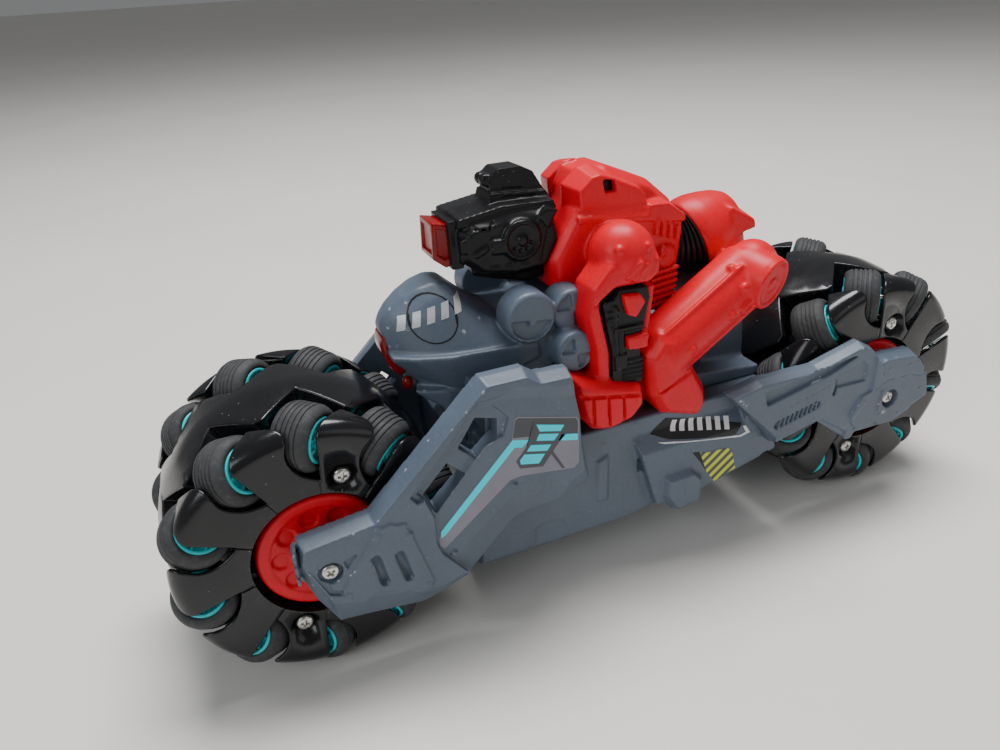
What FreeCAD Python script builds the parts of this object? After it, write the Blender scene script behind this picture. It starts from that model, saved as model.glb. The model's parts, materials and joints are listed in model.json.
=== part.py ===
import FreeCAD, Part
import math
import os
import Sketcher
from FreeCAD import Placement, Rotation, Vector

# Radio-controlled toy motorcycle that drifts on two double rows of slanted rollers.
# Frame: +X is forward, +Y is the rider's left, +Z is up.
# The origin is on the ground, midway between the two axles. Millimetres.

doc = FreeCAD.newDocument("rc_motorcycle")
sheet = doc.addObject("Spreadsheet::Sheet", "sheet")

DRIVING_DIMENSIONS = {
    # wheels
    "wheelbase": 206.72,
    "wheel_radius": 44.0,
    "roller_count": 10,
    "roller_tilt": 45.0,
    "roller_ring_radius": 34.2,
    "roller_row_offset": 19.8,
    "tyre_radius": 9.8,
    "tyre_width": 12.0,
    "tyre_shoulder": 2.5,
    "tyre_groove": 0.5,
    "rim_radius": 6.6,
    "rim_width": 12.8,
    "pin_radius": 1.0,
    "pin_clearance": 0.15,
    "pin_inner_reach": 11.8,
    "pin_outer_reach": 8.8,
    "drum_crown_radius": 42.7,
    "drum_edge_radius": 41.4,
    "drum_half_width": 16.2,
    "drum_edge_round": 0.6,
    "drum_bore": 19.1,
    "drum_hub_radius": 23.9,
    "drum_hub_end": 22.0,
    "bearing_half_width": 4.0,
    "bearing_clearance": 0.1,
    "plate_bore": 20.4,
    "plate_radius": 41.8,
    "plate_face": 28.9,
    "plate_corner": 5.0,
    "plate_edge_round": 0.6,
    "pocket_radius": 10.7,
    "pocket_face": 7.0,
    "notch_floor": 23.6,
    "notch_inner_side": 9.6,
    "notch_deep_side": 11.5,
    "notch_shallow_side": 11.5,
    "plate_screw_ring": 25.2,
    "plate_screw_recess": 4.4,
    # hub motors, caps and axles
    "motor_radius": 17.5,
    "cap_radius": 18.7,
    "cap_inner_face": 22.3,
    "cap_face": 27.3,
    "dimple_radius": 2.8,
    "dimple_ring": 11.6,
    "dimple_count": 9,
    "axle_radius": 3.0,
    "screw_radius": 1.6,
    "screw_head_radius": 2.6,
    "screw_head_height": 1.7,
    # side arms
    "arm_inner_face": 31.2,
    "fork_outer_face": 39.0,
    "swing_outer_face": 38.2,
    "arm_shoulder": 34.0,
    "panel_depth": 1.0,
    "boss_radius": 9.0,
    "screw_recess": 3.6,
    "screw_recess_depth": 2.4,
    # chassis
    "belly_half_width": 27.0,
    "pod_half_width": 31.0,
    "frame_top": 58.0,
    "bay_half_width": 17.0,
    "bay_floor": 31.0,
    "cowl_half_width": 20.0,
    "turbine_radius": 6.5,
    "cell_radius": 7.1,
    "cell_length": 50.5,
    "board_thickness": 1.6,
    "switch_travel": 4.0,
    # rider
    "torso_half_width": 14.0,
    "shoulder_radius": 10.0,
    "thigh_radius": 8.8,
    "bellows_radius": 11.0,
    "bellows_neck": 9.6,
    "head_half_width": 12.0,
    "ear_radius": 6.4,
    "forearm_half_width": 4.6,
}

for row, (alias, number) in enumerate(DRIVING_DIMENSIONS.items(), start=1):
    sheet.set(f"A{row}", alias)
    sheet.set(f"B{row}", str(number))
    sheet.setAlias(f"B{row}", alias)
doc.recompute()


def dim(alias):
    """Value of one driving dimension."""
    return float(sheet.get(alias))


def bind(thing, **formulas):
    """Tie properties of a document object to formulas on the sheet."""
    for name, formula in formulas.items():
        thing.setExpression(name, formula)
    return thing


# ---------------------------------------------------------------- building blocks

UPRIGHT = Rotation(Vector(1, 0, 0), 90)
SIDES = {"left": 1, "right": -1}
AXLE = {"front": Vector(dim("wheelbase") / 2, 0, dim("wheel_radius")),
        "rear": Vector(-dim("wheelbase") / 2, 0, dim("wheel_radius"))}


def close_loop(sketch, corners):
    """Add one closed loop of straight sides to a sketch."""
    first = sketch.GeometryCount
    total = len(corners)
    for index, corner in enumerate(corners):
        sketch.addGeometry(Part.LineSegment(corner, corners[(index + 1) % total]))
    for index in range(total):
        following = first + (index + 1) % total
        sketch.addConstraint(Sketcher.Constraint("Coincident", first + index, 2, following, 1))


def outline(label, points, rotation, origin=Vector(0, 0, 0)):
    """Sketch of a closed outline in its own plane."""
    sketch = doc.addObject("Sketcher::SketchObject", label + "_outline")
    close_loop(sketch, [Vector(x, y, 0) for x, y in points])
    sketch.Placement = Placement(origin, rotation)
    return sketch


def extrude(label, sketch, direction, formula, symmetric):
    """Solid pulled from a sketch along a direction, its length bound to the sheet."""
    solid = doc.addObject("Part::Extrusion", label)
    solid.Base = sketch
    solid.DirMode = "Custom"
    solid.Dir = direction
    solid.Solid = True
    solid.Symmetric = symmetric
    return bind(solid, LengthFwd=formula)


def side_prism(label, points, width):
    """Prism with a side-view outline (forward, up), centred on the middle plane."""
    sketch = outline(label, points, UPRIGHT)
    return extrude(label, sketch, Vector(0, 1, 0), width, True)


def lateral_prism(label, points, near, depth):
    """Prism with a side-view outline that starts at y = near and runs outward."""
    sketch = outline(label, points, UPRIGHT, Vector(0, near, 0))
    return extrude(label, sketch, Vector(0, 1, 0), depth, False)


def section_prism(label, half_points, back, length):
    """Prism along X whose cross-section (y, z) is mirrored about the middle plane."""
    mirrored = [(-y, z) for y, z in reversed(half_points) if y > 0]
    sketch = outline(label, half_points + mirrored, Rotation(Vector(1, 1, 1), 120), Vector(back, 0, 0))
    return extrude(label, sketch, Vector(1, 0, 0), length, False)


def plan_prism(label, half_points, bottom, height):
    """Prism along Z whose plan outline (x, y) is mirrored about the middle plane."""
    mirrored = [(x, -y) for x, y in reversed(half_points) if y > 0]
    sketch = outline(label, half_points + mirrored, Rotation(), Vector(0, 0, bottom))
    return extrude(label, sketch, Vector(0, 0, 1), height, False)


def block(label, corner, length, width, height):
    """Box with its lowest corner at a point; the sizes are formulas."""
    solid = doc.addObject("Part::Box", label)
    bind(solid, Length=length, Width=width, Height=height)
    solid.Placement = Placement(Vector(*corner), Rotation())
    return solid


def rod(label, start, end, radius):
    """Round bar between two points; its radius is a formula."""
    solid = doc.addObject("Part::Cylinder", label)
    bind(solid, Radius=radius)
    run = Vector(*end) - Vector(*start)
    solid.Height = run.Length
    solid.Placement = Placement(Vector(*start), Rotation(Vector(0, 0, 1), run))
    return solid


def ball(label, centre, radius):
    """Sphere at a point; its radius is a formula."""
    solid = doc.addObject("Part::Sphere", label)
    bind(solid, Radius=radius)
    solid.Placement = Placement(Vector(*centre), Rotation())
    return solid


def common(label, pieces):
    """What all the pieces share."""
    result = doc.addObject("Part::MultiCommon", label)
    result.Shapes = pieces
    return result


def fuse(label, pieces):
    """All the pieces as one solid."""
    result = doc.addObject("Part::MultiFuse", label)
    result.Shapes = pieces
    result.Refine = True
    return result


def cut(label, base, tool):
    """The base with the tool taken out of it."""
    result = doc.addObject("Part::Cut", label)
    result.Base = base
    result.Tool = tool
    return result


def gather(label, pieces):
    """Several separate solids kept together in one sub-part."""
    result = doc.addObject("Part::Compound", label)
    result.Links = pieces
    return result


def placed_copy(label, source, placement):
    """A second place for a shape that is modelled once."""
    result = doc.addObject("Part::Compound", label)
    result.Links = [source]
    result.Placement = placement
    return result


def mirror(label, source):
    """The same piece on the rider's other side."""
    result = doc.addObject("Part::Mirroring", label)
    result.Source = source
    result.Normal = Vector(0, 1, 0)
    return result


def both_sides(label, pieces):
    """Each left-hand piece together with its mirror image."""
    twins = [mirror(piece.Label + "_twin", piece) for piece in pieces]
    return pieces + twins


# ---------------------------------------------------------------- rollers


def revolved_body(label, profile):
    """PartDesign body revolved about its own Z from a (radius, height) profile of edges."""
    body = doc.addObject("PartDesign::Body", label)
    plane = next(item for item in body.Origin.OriginFeatures if item.Role == "XZ_Plane")
    sketch = body.newObject("Sketcher::SketchObject", label + "_profile")
    sketch.AttachmentSupport = [(plane, "")]
    sketch.MapMode = "FlatFace"
    sketch.addGeometry(profile)
    for index in range(len(profile)):
        following = (index + 1) % len(profile)
        sketch.addConstraint(Sketcher.Constraint("Coincident", index, 2, following, 1))
    turned = body.newObject("PartDesign::Revolution", label + "_turned")
    turned.Profile = sketch
    turned.ReferenceAxis = (sketch, ["V_Axis"])
    turned.Angle = 360
    return body


def straight_profile(points):
    """Closed profile of straight edges."""
    corners = [Vector(radius, height, 0) for radius, height in points]
    return [Part.LineSegment(corner, corners[(index + 1) % len(corners)])
            for index, corner in enumerate(corners)]


def tyre_profile():
    """Rubber ring: rounded shoulders and four thin grooves round the tread."""
    crown = dim("tyre_radius")
    seat = dim("rim_radius")
    half = dim("tyre_width") / 2
    shoulder = dim("tyre_shoulder")
    groove = dim("tyre_groove")
    tread_half = half - shoulder
    points = [(crown, -tread_half)]
    for step in (-3, -1, 1, 3):
        middle = step * tread_half / 4
        points += [(crown, middle - groove / 2), (crown - groove, middle - groove / 2),
                   (crown - groove, middle + groove / 2), (crown, middle + groove / 2)]
    points.append((crown, tread_half))
    corners = [Vector(radius, height, 0) for radius, height in points]
    edges = [Part.LineSegment(one, two) for one, two in zip(corners, corners[1:])]
    bend = shoulder * math.sqrt(0.5)
    upper_side = Vector(crown - shoulder, half, 0)
    lower_side = Vector(crown - shoulder, -half, 0)
    upper_middle = Vector(crown - shoulder + bend, tread_half + bend, 0)
    lower_middle = Vector(crown - shoulder + bend, -tread_half - bend, 0)
    edges.append(Part.Arc(corners[-1], upper_middle, upper_side))
    edges.append(Part.LineSegment(upper_side, Vector(seat, half, 0)))
    edges.append(Part.LineSegment(Vector(seat, half, 0), Vector(seat, -half, 0)))
    edges.append(Part.LineSegment(Vector(seat, -half, 0), lower_side))
    edges.append(Part.Arc(lower_side, lower_middle, corners[0]))
    return edges


def rim_profile():
    """Plastic rim: hub sleeve, web and the ring that carries the tyre."""
    bore = dim("pin_radius") + dim("pin_clearance")
    sleeve = bore + 1.5
    ring = dim("rim_radius")
    ring_inner = ring - 1.4
    end = dim("rim_width") / 2
    ring_end = end - 0.25
    web = end / 2
    upper = [(ring, ring_end), (ring_inner, ring_end), (ring_inner, web),
             (sleeve, web), (sleeve, end), (bore, end)]
    lower = [(radius, -height) for radius, height in reversed(upper)]
    return straight_profile(upper + lower)


tyre = revolved_body("tyre_pattern", tyre_profile())
rim = revolved_body("rim_pattern", rim_profile())
doc.recompute()

# Phase of each row of rollers, in degrees up from straight ahead.
ROW_PHASE = {("front", "left"): 21.0, ("front", "right"): 3.0,
             ("rear", "left"): 14.0, ("rear", "right"): -4.0}
PITCH = 360.0 / dim("roller_count")


def roller_seat(side, angle):
    """Place of a roller on its wheel: its own Z is the slanted pin."""
    turn = Placement(Vector(0, 0, 0), Rotation(Vector(0, 1, 0), -angle))
    reach = Vector(dim("roller_ring_radius"), side * dim("roller_row_offset"), 0)
    slant = Rotation(Vector(1, 0, 0), -dim("roller_tilt"))
    return turn * Placement(reach, slant)


sub_parts = []
for (wheel, side), phase in ROW_PHASE.items():
    for number in range(int(dim("roller_count"))):
        roller = gather(f"{wheel}_roller_{side}_{number + 1:02d}", [tyre, rim])
        seat = roller_seat(SIDES[side], phase + number * PITCH)
        roller.Placement = Placement(AXLE[wheel], Rotation()) * seat
        sub_parts.append(roller)

# ---------------------------------------------------------------- wheel drum and side plates


def turned_about_axle(label, profile):
    """Ring turned about the wheel axle from a (radius, y) profile of edges."""
    sketch = doc.addObject("Sketcher::SketchObject", label + "_profile")
    sketch.addGeometry(profile)
    for index in range(len(profile)):
        following = (index + 1) % len(profile)
        sketch.addConstraint(Sketcher.Constraint("Coincident", index, 2, following, 1))
    ring = doc.addObject("Part::Revolution", label)
    ring.Source = sketch
    ring.Axis = Vector(0, 1, 0)
    ring.Angle = 360
    ring.Solid = True
    return ring


def rounded(label, base, radius, outer_of):
    """The base with its edges beyond a distance from the axle rounded."""
    doc.recompute()
    chosen = []
    for number, edge in enumerate(base.Shape.Edges, start=1):
        start, end = edge.ParameterRange
        points = [edge.valueAt(start + (end - start) * share) for share in (0.02, 0.5, 0.98)]
        if all(outer_of(point) for point in points):
            chosen.append((number, radius, radius))
    result = doc.addObject("Part::Fillet", label)
    result.Base = base
    result.Edges = chosen
    return result


def drum_half():
    """Left half of a drum, with a square-cut notch for each roller."""
    bearing = dim("motor_radius") + dim("bearing_clearance")
    profile = [(bearing, 0), (dim("drum_crown_radius"), 0),
               (dim("drum_edge_radius"), dim("drum_half_width")),
               (dim("drum_hub_radius"), dim("drum_half_width")),
               (dim("drum_hub_radius"), dim("drum_hub_end")),
               (dim("drum_bore"), dim("drum_hub_end")),
               (dim("drum_bore"), dim("bearing_half_width")),
               (bearing, dim("bearing_half_width"))]
    ring = turned_about_axle("drum_ring", straight_profile(profile))
    notches = []
    for number in range(int(dim("roller_count"))):
        notch = doc.addObject("Part::Box", f"drum_notch_{number + 1}")
        bind(notch, Length="sheet.wheel_radius",
             Width="sheet.notch_deep_side + sheet.notch_shallow_side",
             Height="sheet.wheel_radius")
        corner = Vector(dim("notch_floor") - dim("roller_ring_radius"),
                        -dim("notch_deep_side"), -dim("notch_inner_side"))
        notch.Placement = roller_seat(1, number * PITCH) * Placement(corner, Rotation())
        notches.append(notch)
    notched = cut("drum_notched", ring, fuse("drum_notches", notches))
    skin = dim("drum_edge_radius") - 0.6
    return rounded("drum_half", notched, dim("drum_edge_round"),
                   lambda point: math.hypot(point.x, point.z) > skin and point.y > 0.5)


def plate_half():
    """Left side plate: petals left standing between round roller pockets."""
    face = dim("plate_face")
    edge = dim("plate_radius")
    corner = dim("plate_corner")
    bend = corner * math.sqrt(0.5)
    inner = [Vector(edge - corner, face, 0), Vector(dim("plate_bore"), face, 0),
             Vector(dim("plate_bore"), dim("drum_hub_end"), 0),
             Vector(dim("drum_hub_radius"), dim("drum_hub_end"), 0),
             Vector(dim("drum_hub_radius"), dim("drum_half_width"), 0),
             Vector(edge, dim("drum_half_width"), 0), Vector(edge, face - corner, 0)]
    profile = [Part.LineSegment(one, two) for one, two in zip(inner, inner[1:])]
    middle = Vector(edge - corner + bend, face - corner + bend, 0)
    profile.append(Part.Arc(inner[-1], middle, inner[0]))
    ring = turned_about_axle("plate_ring", profile)
    pockets = []
    for number in range(int(dim("roller_count"))):
        pocket = doc.addObject("Part::Cylinder", f"plate_pocket_{number + 1}")
        bind(pocket, Radius="sheet.pocket_radius", Height="sheet.wheel_radius")
        base = Vector(0, 0, dim("pocket_face") - dim("wheel_radius"))
        pocket.Placement = roller_seat(1, number * PITCH) * Placement(base, Rotation())
        pockets.append(pocket)
    petals = cut("plate_petals", ring, fuse("plate_pockets", pockets))
    hub_zone = dim("drum_hub_radius") + 1.6
    smooth = rounded("plate_smooth", petals, dim("plate_edge_round"),
                     lambda point: math.hypot(point.x, point.z) > hub_zone
                     and point.y > dim("drum_half_width") + 0.1)
    recesses = []
    for angle in PLATE_SCREW_ANGLES:
        recess = doc.addObject("Part::Cylinder", f"plate_recess_{angle}")
        bind(recess, Radius="sheet.plate_screw_recess", Height="sheet.plate_corner")
        recess.Placement = screw_seat(angle, face - dim("screw_head_height") - 0.4)
        recesses.append(recess)
    return cut("plate_half", smooth, fuse("plate_recesses", recesses))


def screw_seat(angle, height):
    """Place of a side-plate screw, its Z pointing out of the wheel."""
    turn = Placement(Vector(0, 0, 0), Rotation(Vector(0, 1, 0), -angle))
    spot = Vector(dim("plate_screw_ring"), height, 0)
    return turn * Placement(spot, Rotation(Vector(1, 0, 0), -90))


# Two screws hold each plate, half a pitch off the rollers and opposite each other.
PLATE_SCREW_ANGLES = (90, 270)


def plate_screw(angle):
    """Screw of a side plate: a shank into the drum's hub and a round head."""
    sunk = dim("plate_face") - dim("screw_head_height") - 0.4
    head = doc.addObject("Part::Cylinder", f"plate_screw_head_{angle}")
    bind(head, Radius="sheet.screw_head_radius", Height="sheet.screw_head_height")
    head.Placement = screw_seat(angle, sunk)
    shank = doc.addObject("Part::Cylinder", f"plate_screw_shank_{angle}")
    bind(shank, Radius="sheet.pin_radius", Height="sheet.plate_face - sheet.drum_half_width")
    shank.Placement = screw_seat(angle, sunk - dim("plate_face") + dim("drum_half_width"))
    return fuse(f"plate_screw_{angle}", [head, shank])


def half_hardware():
    """Roller pins and plate screws of one half of a wheel."""
    pieces = []
    for number in range(int(dim("roller_count"))):
        pin = doc.addObject("Part::Cylinder", f"roller_pin_{number + 1}")
        bind(pin, Radius="sheet.pin_radius",
             Height="sheet.pin_inner_reach + sheet.pin_outer_reach")
        base = Vector(0, 0, -dim("pin_inner_reach"))
        pin.Placement = roller_seat(1, number * PITCH) * Placement(base, Rotation())
        pieces.append(pin)
    for angle in PLATE_SCREW_ANGLES:
        pieces.append(plate_screw(angle))
    return gather("half_hardware", pieces)


hardware_pattern = half_hardware()
drum_pattern = cut("drum_pattern", drum_half(), hardware_pattern)
plate_pattern = cut("plate_pattern", plate_half(), hardware_pattern)
doc.recompute()


def half_place(wheel, side):
    """Place of one half of a wheel; the right half is the left one turned over."""
    phase = Rotation(Vector(0, 1, 0), -ROW_PHASE[(wheel, side)])
    turned_over = Rotation(Vector(1, 0, 0), 0 if side == "left" else 180)
    return Placement(Vector(0, 0, 0), phase * turned_over)


for wheel in AXLE:
    halves = [placed_copy(f"{wheel}_drum_{side}", drum_pattern, half_place(wheel, side)) for side in SIDES]
    drum = fuse(f"{wheel}_wheel_drum", halves)
    plates = gather(f"{wheel}_wheel_side_plates",
                    [placed_copy(f"{wheel}_plate_{side}", plate_pattern, half_place(wheel, side))
                     for side in SIDES])
    hardware = gather(f"{wheel}_wheel_pins_and_screws",
                      [placed_copy(f"{wheel}_hardware_{side}", hardware_pattern, half_place(wheel, side))
                       for side in SIDES])
    for piece in (drum, plates, hardware):
        piece.Placement = Placement(AXLE[wheel], Rotation())
        sub_parts.append(piece)

# ---------------------------------------------------------------- hub motors, caps and axle screws


def along_axle(label, wheel, near, far, radius):
    """Round piece about a wheel axle between two distances from the middle plane."""
    centre = AXLE[wheel]
    return rod(label, (centre.x, near, centre.z), (centre.x, far, centre.z), radius)


motor_pieces = []
cap_pieces = []
for wheel in AXLE:
    inner = dim("cap_inner_face")
    arm = dim("arm_inner_face")
    outer = dim("fork_outer_face") if wheel == "front" else dim("swing_outer_face")
    floor = outer - dim("screw_recess_depth")
    can = along_axle(f"{wheel}_motor_can", wheel, -inner, inner, "sheet.motor_radius")
    shaft = along_axle(f"{wheel}_motor_shaft", wheel, -arm, arm, "sheet.axle_radius")
    motor_pieces.append(fuse(f"{wheel}_motor", [can, shaft]))
    for side, sign in SIDES.items():
        head = along_axle(f"{wheel}_{side}_screw_head", wheel, sign * floor,
                          sign * (floor + dim("screw_head_height")), "sheet.screw_head_radius")
        shank = along_axle(f"{wheel}_{side}_screw_shank", wheel, sign * arm, sign * floor,
                           "sheet.screw_radius")
        motor_pieces.append(fuse(f"{wheel}_{side}_axle_screw", [head, shank]))
        face = sign * dim("cap_face")
        disc = along_axle(f"{wheel}_{side}_cap_disc", wheel, sign * inner, face, "sheet.cap_radius")
        tools = [along_axle(f"{wheel}_{side}_cap_bore", wheel, sign * inner, face, "sheet.axle_radius")]
        for number in range(int(dim("dimple_count"))):
            angle = math.radians(number * 360 / dim("dimple_count"))
            x = AXLE[wheel].x + dim("dimple_ring") * math.cos(angle)
            z = AXLE[wheel].z + dim("dimple_ring") * math.sin(angle)
            dimple = rod(f"{wheel}_{side}_dimple_{number + 1}", (x, face - sign * 0.8, z),
                         (x, face + sign * 0.8, z), "sheet.dimple_radius")
            tools.append(dimple)
        cap_pieces.append(cut(f"{wheel}_{side}_cap", disc, fuse(f"{wheel}_{side}_cap_tools", tools)))

sub_parts.append(gather("hub_caps", cap_pieces))
motors = gather("motors_and_axle_screws", motor_pieces)
sub_parts.append(motors)

# ---------------------------------------------------------------- side arms


def arm_body(label, face_points, base_points, windows, pockets, outer_cell, wheel):
    """Left arm: a plate that slopes in to its face, with windows, a hub boss and a sunk axle screw."""
    outer = dim(outer_cell)
    shoulder = dim("arm_shoulder")
    body = doc.addObject("PartDesign::Body", label)
    plane = next(item for item in body.Origin.OriginFeatures if item.Role == "XY_Plane")

    def flat_sketch(name, height, corners=()):
        sketch = body.newObject("Sketcher::SketchObject", name)
        sketch.AttachmentSupport = [(plane, "")]
        sketch.MapMode = "FlatFace"
        sketch.AttachmentOffset = Placement(Vector(0, 0, height), Rotation())
        if corners:
            close_loop(sketch, [Vector(x, z, 0) for x, z in corners])
        return sketch

    centre = AXLE[wheel]
    plate = body.newObject("PartDesign::Pad", label + "_plate")
    plate.Profile = flat_sketch(label + "_base_outline", -shoulder, base_points)
    plate.setExpression("Length", "sheet.arm_shoulder - sheet.arm_inner_face")
    slope = body.newObject("PartDesign::AdditiveLoft", label + "_slope")
    slope.Profile = flat_sketch(label + "_slope_outline", -shoulder, base_points)
    slope.Sections = [flat_sketch(label + "_face_outline", -outer, face_points)]
    slope.Ruled = True
    doc.recompute()

    boss_sketch = flat_sketch(label + "_boss_outline", -dim("arm_inner_face"))
    boss_sketch.addGeometry(Part.Circle(Vector(centre.x, centre.z, 0), Vector(0, 0, 1), dim("boss_radius")))
    boss = body.newObject("PartDesign::Pad", label + "_boss")
    boss.Profile = boss_sketch
    boss.setExpression("Length", "sheet.arm_inner_face - sheet.cap_face")

    def round_pocket(name, height, radius_cell, formula):
        sketch = flat_sketch(label + name + "_outline", height)
        sketch.addGeometry(Part.Circle(Vector(centre.x, centre.z, 0), Vector(0, 0, 1), dim(radius_cell)))
        pocket = body.newObject("PartDesign::Pocket", label + name)
        pocket.Profile = sketch
        pocket.Reversed = True
        pocket.setExpression("Length", formula)

    round_pocket("_screw_recess", -outer, "screw_recess", "sheet.screw_recess_depth")
    round_pocket("_shank_hole", -outer, "screw_radius", f"sheet.{outer_cell} - sheet.arm_inner_face")
    round_pocket("_axle_hole", -dim("arm_inner_face"), "axle_radius", "sheet.arm_inner_face - sheet.cap_face")

    through = f"sheet.{outer_cell} - sheet.arm_inner_face"
    shapes = [(shape, through) for shape in windows] + list(pockets)
    for number, (shape, depth) in enumerate(shapes, start=1):
        recess = body.newObject("PartDesign::Pocket", f"{label}_recess_{number}")
        recess.Profile = flat_sketch(f"{label}_recess_outline_{number}", -outer, shape)
        recess.Reversed = True
        recess.setExpression("Length", depth)
    body.Placement = Placement(Vector(0, 0, 0), UPRIGHT)
    doc.recompute()
    return body


FORK_FACE = [(109.5, 53.6), (89.2, 55.9), (57.2, 86.2), (53.2, 89.8), (41.2, 89.6), (37.2, 86.6), (27.2, 86.2),
             (24.2, 71.3), (23.7, 55), (26, 53.5), (44.4, 56.2), (47.4, 55.7), (69.9, 38.2), (63.1, 29.2),
             (70.5, 26.8), (80.1, 27.2), (82.4, 29), (93.5, 31.5), (95.6, 30.6), (103.9, 33.3), (108, 44.2),
             (110.3, 50)]
FORK_BASE = [(110.5, 54.8), (89.6, 57.1), (57.7, 87.5), (53.8, 91), (40.8, 90.9), (36.8, 88), (26.6, 87.5),
             (23.2, 71.3), (19.2, 46.6), (29.9, 41.8), (44.1, 41), (46.5, 39.5), (62, 24.5), (62.4, 23.9),
             (69.9, 20.9), (76.7, 19.3), (79, 19.5), (92, 21.3), (95, 21.7), (102.6, 22.5), (108, 33),
             (111.4, 44)]
FORK_WINDOWS = [[(56.6, 79.5), (50.1, 77.3), (50.4, 72), (57, 66.4), (62.2, 71.3)],
                [(66, 67.2), (60.9, 62.1), (70.9, 52.6), (73.9, 59.2)]]
FORK_RECESSES = [([(55.7, 84.9), (78.2, 61), (76.1, 58.5), (71.6, 51.7), (71.9, 43), (70.3, 37.9), (63, 28.9),
                   (40, 45), (18, 45), (18, 77.5), (50.1, 84.6)], "sheet.panel_depth"),
                 ([(92, 35), (89.6, 35), (88.2, 45), (90.6, 45.2)], "1.2"),
                 ([(84.6, 34), (82.2, 34), (81.2, 43.7), (83.6, 44)], "1.2")]
SWING_FACE = [(-32.9, 61.8), (-44.4, 63.8), (-68.5, 63.3), (-87.3, 68), (-92.4, 65.2), (-95.2, 60.4),
              (-112.8, 59.4), (-116.6, 55.7), (-123, 40.1), (-106.2, 33), (-87.2, 33.5), (-71.8, 43.8),
              (-53, 39.8), (-52.4, 42)]
SWING_BASE = [(-32.4, 62.4), (-44.2, 64.9), (-68.3, 64.4), (-87.7, 69.1), (-93, 66), (-95.8, 61.4),
              (-113.2, 60.4), (-117.7, 56.1), (-124.5, 39.7), (-106.3, 31.8), (-86.8, 32.3),
              (-72, 42.5), (-52.3, 38.4), (-51.4, 41.5)]
SWING_RECESSES = [([(-52, 60.5), (-84.5, 64.5), (-86, 62.5), (-54, 55.5)], "1.5"),
                  ([(-58, 47.5), (-75, 51), (-75.5, 48.8), (-58.5, 45.3)], "1.2")]

fork_left = arm_body("fork_arm_left", FORK_FACE, FORK_BASE, FORK_WINDOWS, FORK_RECESSES, "fork_outer_face", "front")
swing_left = arm_body("swing_arm_left", SWING_FACE, SWING_BASE, [], SWING_RECESSES, "swing_outer_face", "rear")
sub_parts += [fork_left, mirror("fork_arm_right", fork_left)]
sub_parts += [swing_left, mirror("swing_arm_right", swing_left)]

# ---------------------------------------------------------------- main frame

belly_side = side_prism("belly_side", [(54, 15.5), (34, 15.5), (-10, 21), (-46, 31), (-56, 34), (-56, 58),
                                       (54, 58), (55, 30)], "2 * sheet.belly_half_width")
belly_section = section_prism("belly_section", [(0, 15), (22, 15), (27, 20), (27, 58), (0, 58)],
                              -60, "2 * sheet.frame_top")
belly = common("belly", [belly_side, belly_section])
pod_side = side_prism("pod_side", [(-9, 24), (-17, 22), (-59, 32), (-56, 46), (-50, 58), (-6, 58), (-1, 50)],
                      "2 * sheet.pod_half_width")
pod_section = section_prism("pod_section", [(0, 20), (28, 20), (31, 24), (31, 46), (22, 58), (0, 58)],
                            -60, "2 * sheet.frame_top")
pods = common("pods", [pod_side, pod_section])

fork_mounts = []
for number, (x, z) in enumerate([(28, 60), (38, 70)], start=1):
    mount = block(f"fork_mount_{number}", (x, 15, z), "14", "sheet.arm_inner_face - 15", "13")
    fork_mounts.append(mount)
fork_tie = block("fork_tie", (26, 15, 52), "24", "sheet.arm_inner_face - 15", "10")
swing_tie = block("swing_tie", (-56, 20, 44), "12", "sheet.arm_inner_face - 20", "14")
neck = block("neck", (20, -15, 58), "32", "30", "16")
frame_solid = fuse("frame_solid", [belly, pods, neck] + both_sides("frame_mounts",
                                                                  fork_mounts + [fork_tie, swing_tie]))

bay = block("electronics_bay", (-36, -dim("bay_half_width"), dim("bay_floor")),
            "84", "2 * sheet.bay_half_width", "sheet.frame_top - sheet.bay_floor")
switch_slot = block("switch_slot", (3, -3.4, 12), "13", "6.8", "12")
switch_track = block("switch_track", (3, -4.6, 22.5), "13", "9.2", "3.6")
frame_hollow = cut("frame_hollow", frame_solid, fuse("frame_voids", [bay, switch_slot, switch_track]))
posts = []
for x in (20, 44):
    for y in (-12, 12):
        posts.append(rod(f"board_post_{x}_{y}", (x, y, dim("bay_floor") - 1), (x, y, 40), "1.8"))
main_frame = fuse("main_frame", [frame_hollow] + posts)
sub_parts.append(main_frame)

# ---------------------------------------------------------------- lenses

visor = side_prism("visor_lens", [(55.5, 126.5), (52.6, 112.5), (49, 114), (49, 125.5)], "11")
nose_strip = side_prism("nose_lens", [(73.5, 99), (71.5, 89), (68, 81), (65.5, 82), (68.5, 90), (69.5, 100)], "10")
nose_bead = rod("nose_bead", (66, 4, 76.5), (66, 9.5, 76.5), "2.2")
lenses = gather("red_lenses", [visor, nose_strip, nose_bead])
sub_parts.append(lenses)

# ---------------------------------------------------------------- upper cowl and seat

cowl_side = side_prism("cowl_side", [(72, 99), (70, 109), (56, 112), (46, 111), (41, 101), (35, 97), (12, 98),
                                     (-8, 95), (-14, 84), (-14, 58), (52, 58), (58, 72), (65, 77), (68, 81)],
                       "3 * sheet.cowl_half_width")
cowl_plan = plan_prism("cowl_plan", [(74, 0), (74, 6.5), (69, 9), (56, 15.5), (36, 20), (-14, 20), (-14, 0)],
                       50, "70")
cowl_section = section_prism("cowl_section", [(0, 58), (15, 58), (15, 80), (20, 91), (17, 98), (9, 112), (0, 112)],
                             -20, "100")
cowl_front = common("cowl_front", [cowl_side, cowl_plan, cowl_section])
seat_deck = side_prism("seat_deck", [(-14, 58), (-14, 66), (-42, 63), (-57, 61.5), (-57, 58)], "40")
seat_post = side_prism("seat_post", [(-38, 60), (-38, 96), (-55, 96), (-57, 60)], "22")
turbines = []
for number, (x, z, out) in enumerate([(31, 99, 22), (16, 101, 21), (19, 87, 26)], start=1):
    turbines.append(rod(f"turbine_{number}", (x, 10, z), (x, out, z), "sheet.turbine_radius"))
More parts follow.
